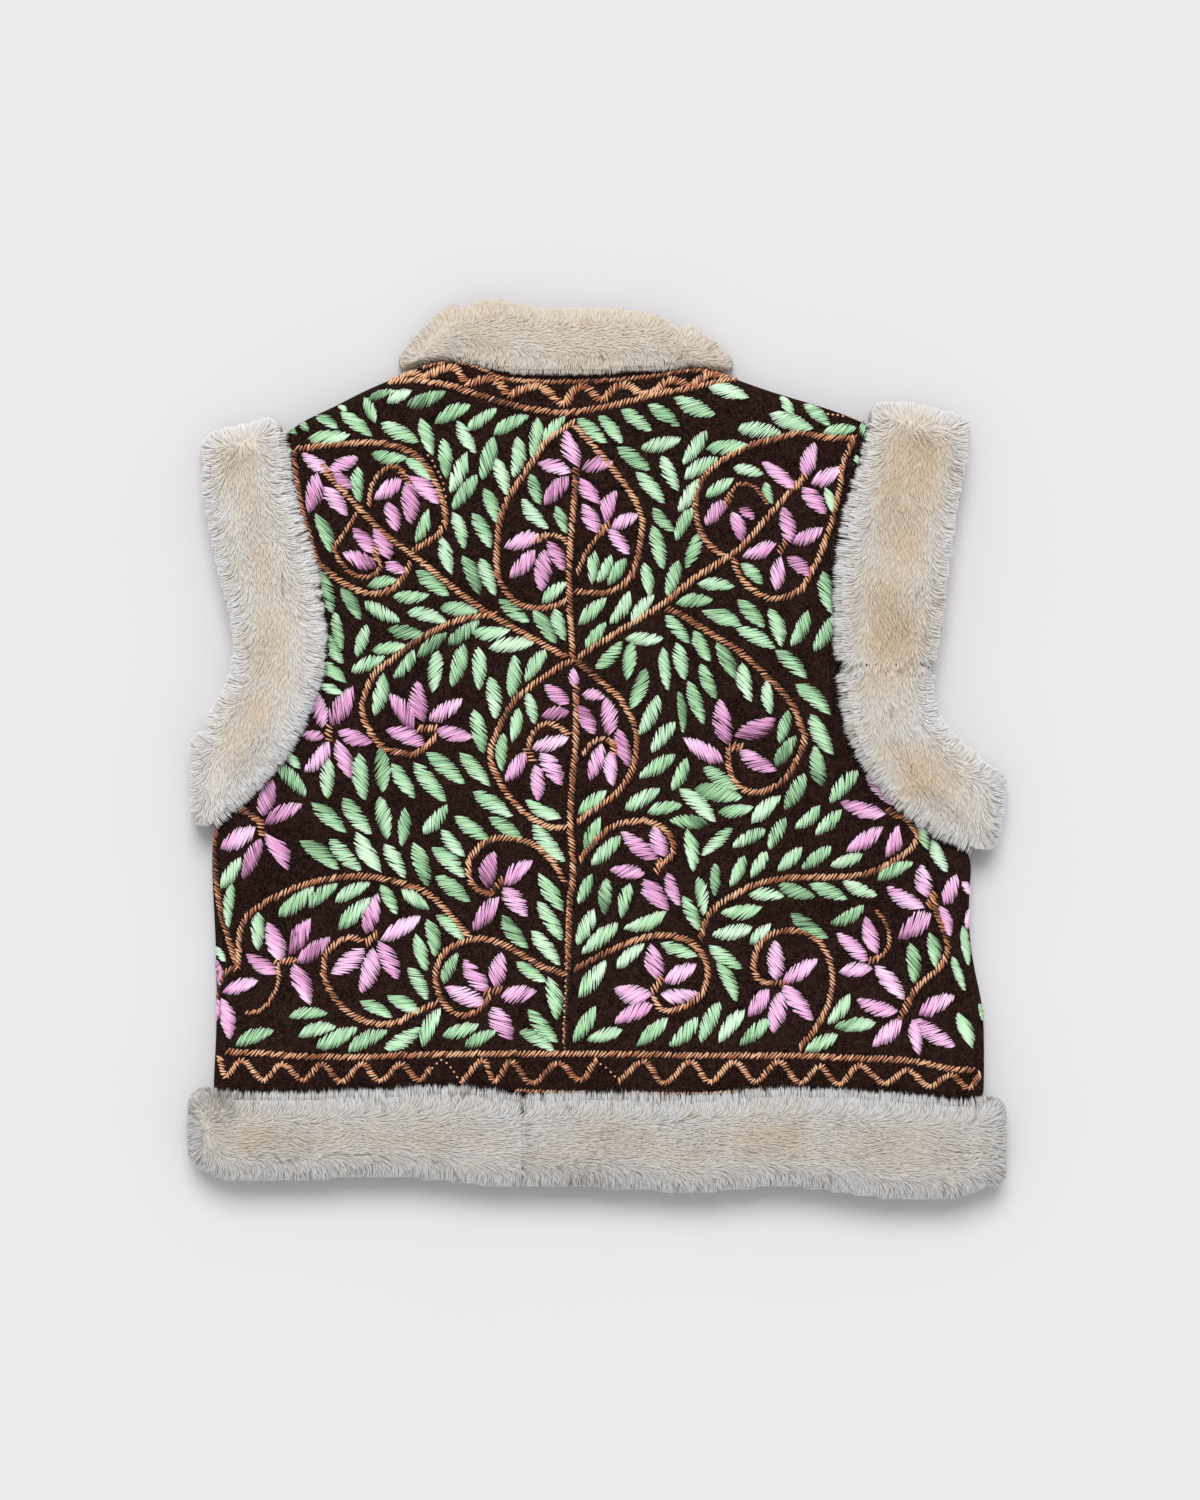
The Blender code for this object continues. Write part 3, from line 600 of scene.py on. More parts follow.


# The back's embroidery, placed in mm. A line's points are one row: x, y, x, y and so on.
# Vines: tone, then points
vines = (
    (0.6, -15.7, 176, -17, 160, -19, 140, -20, 120, -20, 100, -19, 80, -18, 60),
    (0.5, -15.7, 38, -15.7, 14.6, -16, 2, -17.5, -15.7, -18.9, -33.6, -19.3, -51.4, -17.9, -69.3, -17.9, -85.4, -19.6,
     -94.3),
    (0.12, -19.6, -95, -20.7, -121.8, -20.9, -142),
    (0.55, -197, 196, -169, 199, -143, 200, -120, 192, -108, 176, -101, 155, -104, 142, -122, 130),
    (0.5, -199, 194, -197.7, 178.6, -195, 160.7, -190.6, 144.6, -185.2, 125, -179, 118, -169, 110, -158.4, 104.3,
     -147.7, 101.6, -137, 104.6, -129, 111.8, -123.6, 121.6),
    (0.6, -179, 181, -159.3, 159.8, -140.6, 141, -122, 127, -87, 99.3, -71, 88.2, -53, 78, -37, 69, -23, 61.4),
    (0.45, 165.7, 202.7, 147.9, 203.2, 130, 206.3, 116.3, 203.2, 99.3, 199.1, 85.9, 192.9, 75.2, 185.7, 68.1, 178.6,
     63.6, 169.6, 62.4, 158.9, 64.5, 146.4, 69.9, 135.7, 78.8, 127.5),
    (0.55, 164.8, 201.8, 158.6, 187.5, 156.8, 178.6, 155.9, 169.6, 152.3, 155.4, 149.6, 144.6, 142, 124.3, 135, 110.9,
     130.6, 104.6, 119.9, 99.3, 109.1, 99.3, 98.4, 105.5, 90.4, 115.4, 87.7, 124.3),
    (0.6, 131, 176, 112, 155, 93, 133.2, 80.6, 124.3, 62.7, 112.7, 44.9, 98.4, 28.8, 87.7, 12.7, 77.9, -5, 67.1,
     -13.9, 60.9),
    (0.6, -17.5, 213.4, -33.6, 202.7, -42.5, 190, -50.5, 178.5, -58.6, 166, -61.8, 159.5, -65.2, 150, -67, 135.7,
     -67.5, 124.3, -66.6, 113.6, -62.1, 104.6, -55, 96.6, -44.3, 93, -33.6, 93, -22.9, 97.1),
    (0.5, -16, 211, -4, 198, 10, 181, 22, 164, 27.5, 150, 26.1, 135, 24.3, 124.3, 19.9, 113.6, 12.7, 106.4, 2, 102.5,
     -15.7, 103.8),
    (0.6, -18.4, 58.2, -24.6, 55.5, -33.6, 49.6, -44.3, 42.1, -55, 33.2, -62.1, 22.5, -68.4, 9.3, -71.4, 0.4, -71,
     -8.6, -67.5, -17.5, -63, -25.5, -56.8, -33.6, -49.6, -40.7, -40.7, -47, -31.8, -50.5, -22.9, -51),
    (0.5, -15.7, 58.2, -8.6, 52.9, 0.4, 44.8, 12.7, 34.1, 20.8, 20, 23.4, 12.9, 23.8, 3.9, 23, -5, 20.8, -13.9, 15.4,
     -22.9, 9.1, -30, -5, -39.8, -14.8, -47),
    (0.55, -70.5, 88.2, -87, 86.4, -101.4, 81.4, -113.9, 75.2, -124.6, 68, -137, 58, -148, 48, -155, 28, -150, 12,
     -141, 1.5, -130, -2, -122.9, -3.2, -116.6, 0.4, -112, 4, -107.7, 8.4),
    (0.45, 44, 92.1, 53.8, 88.2, 64.5, 81.4, 77, 73.4, 89.5, 65.4, 100.2, 56.4, 110.9, 45.7, 119.9, 36.8, 127, 26.1,
     131.5, 13.6, 133.3, 9.3, 131.5, 0.4, 127, -9.5, 119.9, -19.3, 110.9, -25.5, 102, -27.9, 93, -25.5, 87.5, -19.5),
    (0.15, 86.6, -18, 84.1, -8.6, 84.1, -0.5, 86.8, 3, 91.3, 1.3),
    (0.55, -86.3, -121.4, -94.3, -112, -106.8, -98.8, -115.7, -92.6, -121.8, -89.8, -137, -85.4, -154.9, -82.7,
     -172.7, -83.6, -190.6, -87.1, -204.9, -92.5, -217.4, -98.9, -229.9, -108.5, -233.8, -116.4, -235.6, -125.4,
     -236.1, -140.5),
    (0.22, -221, -48, -228, -41.5, -236, -38.5, -243, -41, -248, -46.5, -250.5, -56, -250.8, -70, -249.5, -86, -246.8,
     -105.7, -243.3, -118.2, -239.7, -130.7, -237.4, -139),
    (0.15, -249.8, -161, -246, -147.7, -241.5, -143.5, -237, -142.3),
    (0.55, -107.7, -165.5, -113.9, -168.2, -122.9, -172.7, -130.8, -177.1, -140.6, -178.9, -151.3, -177.5, -162,
     -172.7, -170.9, -164.6, -177.2, -155.7, -180.4, -145.9, -179.9, -136.1, -175.4, -128.9, -169.1, -124.5, -162.9,
     -122.7, -156.6, -125),
    (0.5, -23.8, -85.4, -30, -74.6, -38, -65.7, -47.9, -60, -58.6, -57.7, -69.3, -58.2, -78.2, -62.5, -84.5, -70.2,
     -86.3, -78.2, -84.5, -86.3, -79.1, -91.6, -71, -94.8),
    (0.55, -22.9, -146.8, -30, -144.1, -37.1, -142.3, -46.1, -137, -55, -131.6, -63.9, -127.1, -74.6, -123.9, -83.6,
     -123.9, -92.5, -126.8, -100.5, -131.6, -105.9, -139.6, -107.7, -148.6, -105, -159.3, -100.5, -167.3, -92.5,
     -172.7, -83.6, -172.1, -76.4, -167.3, -72, -161),
    (0.5, -13, -72, -6.8, -63.9, 1, -55.5, 10.9, -48.8, 19.9, -47, 28.8, -46.4, 36.8, -48.8, 44, -53.6, 47.9, -61.3,
     46.6, -69.3, 42.2, -73.2, 38, -76),
    (0.5, -15.7, -143.2, -5, -137.5, 12.7, -128.6, 23.4, -124.5, 34.1, -121.8, 44.9, -121.4, 55.6, -123.9, 63.6,
     -129.3, 69, -137.9, 70.4, -146.8, 68.1, -156.6, 61.8, -163.8, 53.8, -168.2, 44.9, -170.4, 38.6, -167.9, 35.6,
     -162),
    (0.5, 65.9, -123.6, 68.4, -114.6, 71.6, -107.5, 78.8, -100.4, 89.5, -93.9, 100.2, -88.9, 112.7, -85.4, 127, -83.4,
     147.9, -83.2, 165.7, -82.1, 178.2, -79.1, 188.9, -73.8, 198.8, -67.5, 204.1, -62.1, 206.3, -56, 201.4, -47,
     195.2, -42.5),
    (0.5, 130.2, -194, 137.3, -186, 143.4, -177.1, 148.8, -166.4, 151.8, -153.9, 151.8, -145, 148.8, -134.3, 143.4,
     -125.4, 134.5, -119.6, 125.2, -118.2, 116.3, -119.1, 109.1, -122.7, 103.8, -128.9, 101.1, -137, 101.1, -145,
     104.7, -150.4, 110.9, -153),
    (0.35, 216.6, -95, 219.3, -105.7, 222.9, -114.6, 226.4, -125.4, 225.5, -135.2, 220.2, -143.2, 212.1, -150.4,
     205.9, -156.6, 202.3, -162.9),
    (0.5, -242, -196.4, -222, -197.3, -199.5, -199.3, -172, -200, -148, -200, -130, -199, -80, -198, 0, -198, 60,
     -199, 130, -199.2, 156.8, -200.5, 183.6, -201.3, 201.4, -202.4, 215.7, -204.8, 228.2, -207.3, 242, -208.4),
    (0.5, -136.5, 240.5, -119, 240.5, -100.2, 238, -78.5, 231.5, -57, 225, -35, 220.8, -20.4, 220, -5.9, 222.1, 15.8,
     226.4, 37.6, 232.3, 59.4, 235.9, 78.2, 240.3, 88.4, 241.7),
)
# stems and edge lines worked narrower: width, tone, points
thinLines = (
    (3.4, 0.45, -199.5, -137.9, -206.6, -137.5, -210.6, -140.5, -209.7, -146.8, -210.6, -153.9, -213.8, -161, -218.3,
     -167.3, -223.6, -170.4, -229.9, -170.9),
    (3.4, 0.35, 180.9, -104.8, 185.4, -111.1, 188.6, -118.2, 188.9, -127.1, 185.4, -133.4, 179.1, -137),
    (3.6, 0.5, -151, 160, -149, 172, -142, 182, -133, 185, -127, 179),
    (3.6, 0.45, -159, 153, -170.9, 135, -172.7, 129.6, -168.3, 121.6, -162, 115.4, -154.9, 112.7, -147.7, 113.9,
     -143.3, 119.8, -146, 127),
    (3.2, 0.2, 83.3, 162.5, 84.5, 166, 87.7, 171.4, 91.3, 173.6, 99.3, 172.3, 103.8, 168.8, 109.1, 160.7),
    (3.8, 0.5, -14.8, 116.3, -10.4, 126.1, -5, 135, 3, 144),
    (3.8, 0.5, -40, 137, -34, 140, -26, 139, -21, 135),
    (4.2, 0.4, -21, 11, -26.4, 14.6, -32.7, 17.3, -38, 16.4, -42.5, 12.9, -45.2, 7.5, -47, 2.1),
    (4.2, 0.4, -11.3, -2.3, -6.8, 3, -3.2, 5.7, 2.1, 7.5, 7.5, 5.7, 10, 2),
    (2.4, -0.2, -20.9, -143, -22, -157.5, -22.9, -175.4, -23.4, -194),
    (3, 0.5, -54, -222, -20, -223, 30, -224, 65, -224, 110, -221),
    (3.6, 0.45, -114.7, 249.7, -98.8, 253.3, -88.6, 252.6, -75.6, 248.2, -66.9, 243.1, -55, 241.3, -35, 240, -11.7,
     240.2, 8.6, 241.3, 30.3, 243.1, 49.2, 246, 66.6, 247.5, 78.2, 245.3, 86.9, 241.7),
)
# rows of single bright stitches: tone, points
dots = (
    (0.9, 96, 198.5, 88, 194.5, 79, 189, 70.5, 181, 63, 173, 60.8, 161, 62.5, 150, 66.5, 140),
    (0.95, 131.5, 175.9, 127, 172.5, 122.5, 168, 119.5, 164.5),
    (0.9, -112, 192, -107.3, 184.5, -103.6, 176.8, -101.5, 169.6, -100.6, 160.7, -101.6, 151.8, -104.6, 145.4),
    (1, -21, -96, -21.9, -121.8, -22, -139.6, -22.8, -157.5, -23.6, -175.4, -24, -190),
    (0.9, -109, -207, -103.2, -201.8, -97, -207, -90.7, -216.4),
    (0.9, -3, -202, 4, -207, 12.7, -215.5),
    (0.8, 88.5, -21, 85.6, -12, 84.4, -2),
    (0.9, 162, 196, 159.5, 188, 157, 178),
    (0.95, 148, 218.5, 153, 217.8, 158, 217.2),
    (0.8, 163, 216.6, 168, 216, 172, 215.4),
)
# flowers' middles, where the stem ends thickly: x, y, heading, length
eyes = (
    (-178, 182, -45, 8), (-127, 178, -50, 8), (-146, 127.5, 80, 7), (-15.7, 179, -90, 8), (3, 144.3, 45, 8),
    (-39, 138.5, 20, 8), (131.5, 175.5, -130, 8), (119, 132, 60, 7), (83.5, 163, 60, 7), (-176.5, 11, 90, 8),
    (-113, 14, 4, 11), (-220.5, -50.5, -80, 10), (-15.7, 37, 90, 8), (9, 1.5, -80, 8), (-46, -3, -60, 8),
    (88.5, 1.5, 10, 8), (191, -41, -35, 9), (-205.5, -138, 0, 12), (-149.5, -123.5, 40, 9), (-67, -89, 50, 10),
    (-70, -158, 10, 10), (37.5, -153.5, 55, 10), (38.8, -76, 60, 8), (116.5, -152.5, 0, 8), (179, -137.5, 20, 6),
    (216, -97.5, 60, 9), (199, -169.5, 60, 12),
)
# the hem wave's crests and troughs from left to right, in runs: the gaps between are rows of dots
hemWaves = (
    (-247.5, -199.5, -243, -212, -232.5, -202, -219, -215, -207, -204.3, -193.3, -215, -180.8, -204.8, -168.3, -216.4,
     -154.9, -204.3, -143.3, -215.5, -129.5, -204.6, -118.4, -215.5, -110.5, -208),
    (-90, -216.4, -76.4, -202.1, -68.4, -216, -57.7, -203, -43.9, -217.3, -27.3, -203.9, -13, -215.5, -2.4, -202),
    (13, -215.5, 28.8, -203, 41.6, -217.3, 59.1, -203, 71.6, -216.4, 87.7, -203, 101.1, -216.4, 116.3, -203, 130.2,
     -217.3, 143.4, -206, 155.4, -218.2, 169.3, -205.7, 185.4, -217.3, 200.5, -208.3, 213.9, -219.1, 228.2, -211.5,
     239.8, -220, 247, -211),
)
neckWave = (
    -136.5, 241, -123.4, 246, -114.7, 243.1, -103.1, 248.2, -94.4, 248.9, -88.6, 241, -85.7, 238.8, -74.1, 241.7,
    -65.4, 238.8, -59.6, 231.5, -50.9, 235.2, -37.8, 236.6, -24.8, 225.7, -17.5, 233.7, -10.3, 236.6, 1.3, 228.6, 8.6,
    235.2, 17.3, 238.1, 27.5, 232.3, 36.2, 233.7, 43.4, 240.3, 52.1, 240.3, 57.9, 236.6, 65.2, 241, 72.4, 245.3, 81.1,
    243.1,
)
# leaves: x, y of the middle, heading toward the pointed end in degrees, length, and breadth if it isn't
# the usual share
leaves = (
    (-176, 204, 2, 27), (-177.7, 213.7, -36, 17), (-158.4, 212, -40, 25), (-150, 221, -62, 18), (-130, 207, -29, 27),
    (-113, 229, 18, 27), (-130.7, 230.4, 22, 18), (-142, 230.7, 18, 19, 5), (-113, 204, -75, 25), (-96, 219, 24, 26),
    (-87, 204, -63, 24), (-101, 190, -88, 26), (-92, 181, -115, 28), (-88, 168, -128, 28), (-92, 143, -75, 25),
    (-100, 127, -78, 25), (-84, 114, -70, 27), (-157, 173, -90, 23), (-137, 192, -8, 23), (-118, 183, -42, 22),
    (-116, 146, -115, 23), (-180, 141, -72, 27), (-142, 109, 10, 19), (-178, 102.9, -75, 29), (-162, 95, -62, 24),
    (-142, 90, -28, 27), (-123, 101, 0, 23), (-109, 109, -40, 27), (-92, 92, -8, 25), (-113, 87, -16, 26),
    (-170, 77.5, -80, 25, 7), (-167.5, 222.5, -45, 7, 4), (-192, 210.5, -60, 9, 5), (-200.5, 208, -45, 9, 5),
    (-204, 193, 30, 8, 5), (-203, 185.5, 60, 7, 5), (-77, 216, 33, 24), (-58, 212, 25, 26), (-73, 190, -108, 29),
    (-55, 191, -98, 27), (-42, 203, -100, 27), (-30, 209, 48, 23), (-5, 208, -42, 25), (7, 209, -52, 24),
    (22, 190, -38, 26), (24, 215, -38, 24), (42, 218, -38, 25), (62, 224, -25, 29), (84, 233, -18, 27),
    (40, 200, 12, 27), (62, 197, -127, 27), (83, 198, 3, 27), (46, 180, -68, 25), (66, 184, 29, 26),
    (58, 166, -125, 25), (33, 171, -50, 27), (42, 150, -50, 21), (55, 147, -120, 24), (38, 132, -78, 29),
    (60, 130, -108, 24), (48, 112, -110, 25), (31, 111, -85, 22), (76, 108, -8, 24), (62, 97, 2, 24),
    (79.7, 86.4, -24, 27), (-64, 178, -75, 26), (-71, 159, -72, 24), (-77, 143, -65, 26), (-73, 113, -70, 26),
    (-42, 170, -75, 21), (-42, 154, -50, 26), (-25, 150, -72, 19), (-30, 103, 38, 21), (-56, 91, -40, 25),
    (-36, 81, -60, 27), (-26, 82, -75, 22), (-4, 119, -100, 21), (3, 118, -120, 20), (11, 116, -128, 21),
    (-5, 91, 40, 25), (13, 93, -125, 25), (28, 92, 50, 24), (51, 79, -52, 24), (78, 171.4, 30, 22),
    (122, 223, -65, 17), (125, 214, -22, 30), (141, 218, -42, 22), (104, 208, -8, 29), (156, 208, 5, 22),
    (172.5, 207.5, -75, 13, 6), (169, 184, -75, 16), (97, 182, -15, 20), (110.4, 167.5, -75, 15), (150, 162, -75, 18),
    (99, 115, -48, 20), (148.6, 102.3, -80, 28), (99, 89, -50, 25), (114.5, 79.7, -75, 26), (130, 79, -118, 25),
    (145.4, 75.4, -122, 26), (-155, 71, -110, 22), (-174, 66.6, -58, 25), (-174, 51, -42, 22), (-175, 40, -28, 16),
    (-126, 77, -12, 24), (-137.5, 66.8, 6, 22), (-151, 56, 22, 24), (-110, 69, 36, 25), (-89.3, 77, 35, 26),
    (-128, 56, -128, 23), (-144, 36, -105, 28), (-108, 51, -95, 28), (-93, 55, -108, 29), (-200, -7, -50, 14),
    (-200.6, -19.7, -47, 28), (-176.8, -18.8, -95, 26), (-155, -18, -86, 31), (-142.7, -13, -86, 29.5),
    (-128.3, -20.2, -60, 27), (-111, -21, -53, 33), (-100.7, -12, -42, 32), (-81.4, -12.6, -51, 29),
    (-176.7, -43.9, -45, 29), (-158.2, -43.1, -56, 30), (-141.7, -44.6, -78, 28), (-128.5, -50.6, -97, 25, 8),
    (-108, -45, 47, 25), (-83.5, -51, -37, 27), (-183, -68.7, -40, 31), (-166.2, -68.2, -48, 29),
    (-151, -66.8, -62, 30), (-134, -72.7, -62, 26), (-117, -74.7, -74, 30), (-95.8, -61, -52, 23),
    (-99, -73.3, -45, 29), (-96, -91, -39, 28), (-71, 78, 0, 25), (-57.7, 68.6, 5, 30), (-79, 53, -92, 28),
    (-57, 48, -98, 28), (-42, 55, -125, 25), (-70, 34, -85, 28), (-79, 12, -80, 29), (-45, 27, -78, 21),
    (-55, 16, -105, 22), (-63.5, -1.5, -95, 25, 7.5), (-69.7, -35.2, -34, 31), (-61.5, -51.3, -36, 26),
    (-33, -61, -51, 32), (-37.5, -38.8, 150, 26, 8), (-3, 75, 50, 22), (6, 62, 48, 25), (29, 73, -2, 25),
    (19, 58, -95, 25), (25, 40, -108, 28), (43, 53, -85, 28, 7), (53, 58, -80, 25), (67, 68, -65, 23),
    (71, 45, -68, 25), (82.9, 58.2, -66, 27), (52.9, 24.8, -85, 28, 5.5), (63.1, 30.9, -72, 30, 8),
    (32, 23, -118, 29), (41.5, 8, -130, 25), (37.3, -11, -150, 28), (52, -16, -118, 23), (28, -31.8, 28, 26.5),
    (42.3, -38.3, 9, 23), (64, -36, -45, 32), (58, -47, 177, 25), (79, -18.5, -35, 27), (77.5, -28, -13, 32),
    (89, -38.5, 5, 23), (-5, -34, 36, 24), (-5, -55, 62, 24), (4, -66, -138, 27), (59.3, -65.8, -85, 28, 8.5),
    (76.5, -60, -136, 27, 8), (102, 73, -30, 28), (125, 56, -46, 27), (139, 33, -44, 30), (145, 10, -64, 30),
    (141.9, -10.5, 98, 27, 10), (159, -24.2, -133, 28), (127.2, -27.5, -120, 27), (108.5, -38.5, 40, 26),
    (116, -55, -120, 23), (135.5, -43.8, -140, 22), (149, -47.3, -139, 23), (97.5, -58, -154, 25, 8),
    (96, 44, -80, 26), (110, 34, -85, 22), (120, 15, -108, 22), (121, -0.5, 54, 24), (211, -57, -75, 17),
    (221, -69, -67, 23), (-240.3, -79.8, 54, 24), (-240.5, -101.5, -97, 29, 7), (-223, -118.5, -95, 25),
    (-198.5, -98.6, 37, 30), (-181, -95, 36, 25), (-162, -93, 26, 26), (-161, -107, 42, 29), (-138, -98, -65, 22),
    (-121, -98, -32, 22), (-98, -116, -45, 24), (-110.3, -123, -81, 25), (-117, -132.5, -76, 25),
    (-119, -152.5, -61, 25), (-98, -142.5, 62, 22), (-128, -166, -30, 24), (-146, -169, -30, 23),
    (-190.3, -173, 3, 25.5, 7.5), (-184.3, -183.4, 12, 25), (-171.5, -187.5, 23, 30), (-151.3, -189.6, 26, 29),
    (-128, -188, 32, 28), (-110, -181, 62, 27), (-225, -187.3, 18, 26), (-91, -182.5, 14, 25, 9),
    (-78, -188, 24, 22.5), (-247.5, -133, -60, 12, 5), (-32, -93, -60, 29), (-32.5, -112, -60, 30),
    (-35, -129.5, -53, 29), (-55, -119, -55, 27), (-44.5, -145, -37, 23), (-30.8, -162.5, -82, 28),
    (-37, -180, -50, 28), (-41, -189.5, -32, 26), (-9.5, -91, -118, 21), (4, -96, -95, 24), (17, -99, -108, 23),
    (-9.5, -116, -118, 26), (0, -123.5, -142, 31), (29.5, -111.5, -160, 30), (20, -134.3, 38, 24),
    (52, -130.5, -22, 25), (-5.3, -149.3, 50, 29.5), (-10, -179, -125, 27), (3, -186, -167, 24),
    (34, -184.3, -142, 27), (54.5, -184.2, -138, 26), (72, -178, -118, 29), (86, -180.5, -132, 27),
    (60, -107, -68, 25), (65.8, -96, -80, 25), (75.5, -85, -92, 22, 6), (90, -79.5, -118, 22), (92.2, -105, -176, 27),
    (86.2, -118.8, -172, 27), (82.5, -135.3, -38, 26), (83, -152, -65, 28, 8.5), (104, -75.3, -125, 20),
    (124.3, -71.5, -138, 22), (141.5, -70.5, -144, 24), (160.7, -72, -162, 22), (192.3, -79, 24, 26),
    (109, -95, -6, 23), (129, -92, -20, 25), (149.5, -92.5, -24, 26), (170, -90.3, -24, 24), (161.5, -108, -152, 25),
    (137.5, -115, -36, 29), (105, -120, 40, 19), (204.1, -139.6, -88, 26, 8.5), (217.1, -130.4, -82, 23, 8),
    (234, -146, -71, 24, 5), (238.3, -127.5, -82, 26, 6), (238, -182.5, -73, 24), (248.5, -171, -80, 12, 4),
    (156, -169.5, -131, 24), (166, -179.5, -177, 27), (144, -191.5, -158, 24), (100.7, -184.3, -142, 26),
)
# petals: x, y of the middle, heading from the flower's middle, length, and breadth if it isn't the usual share
petals = (
    (-185.2, 187.1, 144, 20.5), (-166.8, 186.3, 27, 21), (-166.8, 175.4, -39, 15.6), (-171.8, 162.1, -55, 24),
    (-186.8, 167.1, -107, 26.8), (-138.4, 169.6, -148, 22), (-135.2, 152.1, -78, 20), (-124.3, 161.3, -88, 28.5),
    (-114.8, 169.6, -46, 27), (-154.3, 136.3, 127, 21.4), (-142.5, 134.3, 114, 22.5), (-156.6, 123.9, 161, 23),
    (-133.1, 119.3, -31, 15), (-18.4, 196.4, 107, 25), (-30, 183.9, 160, 22), (-28.2, 168.8, -134, 24),
    (-1.8, 185.4, 8, 21), (-6.4, 168.8, -56, 21), (-6.4, 150.9, 115, 22), (7, 158.6, 68, 22), (15.9, 149.1, 25, 20),
    (12.4, 135.7, -55, 21), (-51.4, 136.1, -164, 24), (-50.5, 121.1, -136, 24), (-37.1, 117.1, -97, 27, 11),
    (-28.5, 126.5, -65, 22), (136.3, 189.3, 70, 23), (116.3, 179.1, 139, 28, 8), (147.5, 179.1, 22, 22),
    (139.8, 162.5, -53, 23), (121.6, 146.8, 100, 24), (135.5, 140, 23, 22), (103.8, 130, -164, 23),
    (116.3, 115, -103, 22), (130, 119.8, -42, 20), (75.2, 154.5, -132, 21), (89.9, 145.5, -76, 20),
    (96.1, 154.5, -43, 11.6), (-182, 26.1, 101, 22.5), (-168.3, 28.8, 57, 29), (-159.2, 8.9, -22, 23, 9.5),
    (-166.9, -5.9, -73.5, 26), (-184.3, -4.5, -132, 25.5), (-187, 8.8, 172, 14), (-129.3, 25, 126, 28),
    (-117.5, 31.8, 95, 27), (-100.9, 26.6, 30, 26), (-95, 11, -14.7, 24.5, 10), (-127.5, 8.2, 157, 26.5),
    (-216.5, -31, 70, 24.5, 11), (-206, -41.6, 25, 27.5, 9.5), (-235.4, -57.5, -152, 26, 12),
    (-226.3, -71.3, -116, 28.5, 9.5), (-210.5, -66.2, -63.5, 27, 11.5), (-17, 47.1, 90, 13), (-28.8, 36.4, 137, 20),
    (-29.6, 23.4, -176, 18), (-4.1, 35.5, -10, 15), (-8.9, 19.8, -62, 22), (5.1, 22, 98, 25),
    (-2.5, -7.8, -112, 24.7, 10), (8, -12.5, -90, 22.7, 9), (15.8, 1, -76, 25.8, 9.5), (-32.3, 4.7, 14, 25, 9.5),
    (-55, -11, -128, 23, 10), (-41, -21.5, -88, 24, 9.5), (-31.8, -12.5, -60, 25.5, 11), (80.5, 18.5, 98, 30, 11),
    (67.5, 0.5, 152, 30, 11), (101.5, 14.5, 27, 28, 12), (103.5, -6.8, -31.6, 27.3, 11), (184, -26.5, 135.5, 30, 10),
    (171, -38, 162, 30.5, 10), (172.5, -58.3, -149, 28, 10), (190.5, -59.5, -117, 21.7, 9),
    (-213, -125.3, 106, 27, 11.5), (-196.7, -122, 55, 27.3, 11), (-187.5, -130.5, 34, 27.3, 10.5),
    (-221, -139.8, 143.5, 24, 9), (-194.5, -153, -71, 28.4, 11.5), (-149.5, -107, 71, 27.3, 11),
    (-130.5, -116.5, 28, 30.7, 10.5), (-165.5, -138, -139, 27, 12), (-152, -144.5, -107, 30.3, 12),
    (-138.5, -137.5, -65, 27.5, 11.5), (-234.5, -154, 14, 23.5, 9.5), (-243.3, -175, -79, 27, 9.5),
    (-249.3, -146, 95, 18, 6), (-249.8, -169, -95, 15, 6), (-71.5, -78.5, 76, 24.5, 12), (-53.5, -80, 36, 24.2, 10.5),
    (-55.3, -99.5, -53.8, 24.2, 11.5), (-74.5, -107.5, -132, 27.4, 11.5), (-81.5, -147.5, 124, 26, 10.5),
    (-66.6, -144.1, 77, 23.5, 11.5), (-88.5, -160.5, 155, 28, 11.5), (-53, -159, 4, 23.5, 10.5),
    (-63.5, -178.5, -63, 25, 13), (35.3, -139, 97, 24, 11.5), (52.5, -145.4, 22, 24, 11), (52, -159.5, 4, 25, 10),
    (21.6, -157.9, 168, 24.8, 12), (21.8, -172.5, -158, 27.5, 10), (17.7, -80, 170, 23, 9),
    (25.5, -62.5, 140.5, 30, 10.5), (38.8, -59.8, 107, 21.5, 11), (37, -94.5, -56, 25.5, 12),
    (48.5, -91.2, -72, 23.5, 8.5), (114.5, -137.5, 88, 26, 11), (130.5, -144.5, 31, 28, 10.5),
    (129.5, -165, -52, 30, 10.5), (115.5, -171.5, -104, 26.6, 12), (103.5, -165.5, -133, 22, 10.5),
    (177, -121, 104, 25.3, 9.5), (165, -129, 136, 27, 9.5), (167, -144.3, 182, 22, 9.5),
    (189.5, -152, -52, 28.3, 10.5), (211, -85.5, 98, 22, 11), (199, -96, 148, 28, 10), (205.4, -115.5, -146, 26, 13),
    (227.5, -90.5, 64, 21, 9.5), (225, -111.5, -74, 21, 7.5), (181, -167, 161.6, 28.2, 9.5),
    (187.5, -184, -140, 26.5, 10.5), (206, -187.5, -83, 22.7, 8.5), (217.5, -184.5, -33.5, 32.4, 10),
    (219.5, -166, 25, 26, 10.5), (239.5, -90, 130, 12, 6), (240, -110, -100, 14, 4),
)

# how the hand varied a motif: the usual slant and the rarer one as middle and scatter in degrees, the range of
# tone at its start and at its end, and how often those two keep their order
motifs = {
    "slant": (40, 5), "otherSlant": (138, 4), "usualSlant": 0.93,
    "lift": (0.08, 0.11), "startTone": (0.16, 0.66), "endTone": (0.4, 0.9), "usualOrder": 0.7,
    "breadth": (0.96, 1.08), "bend": 0.05, "skew": 0.22,
}


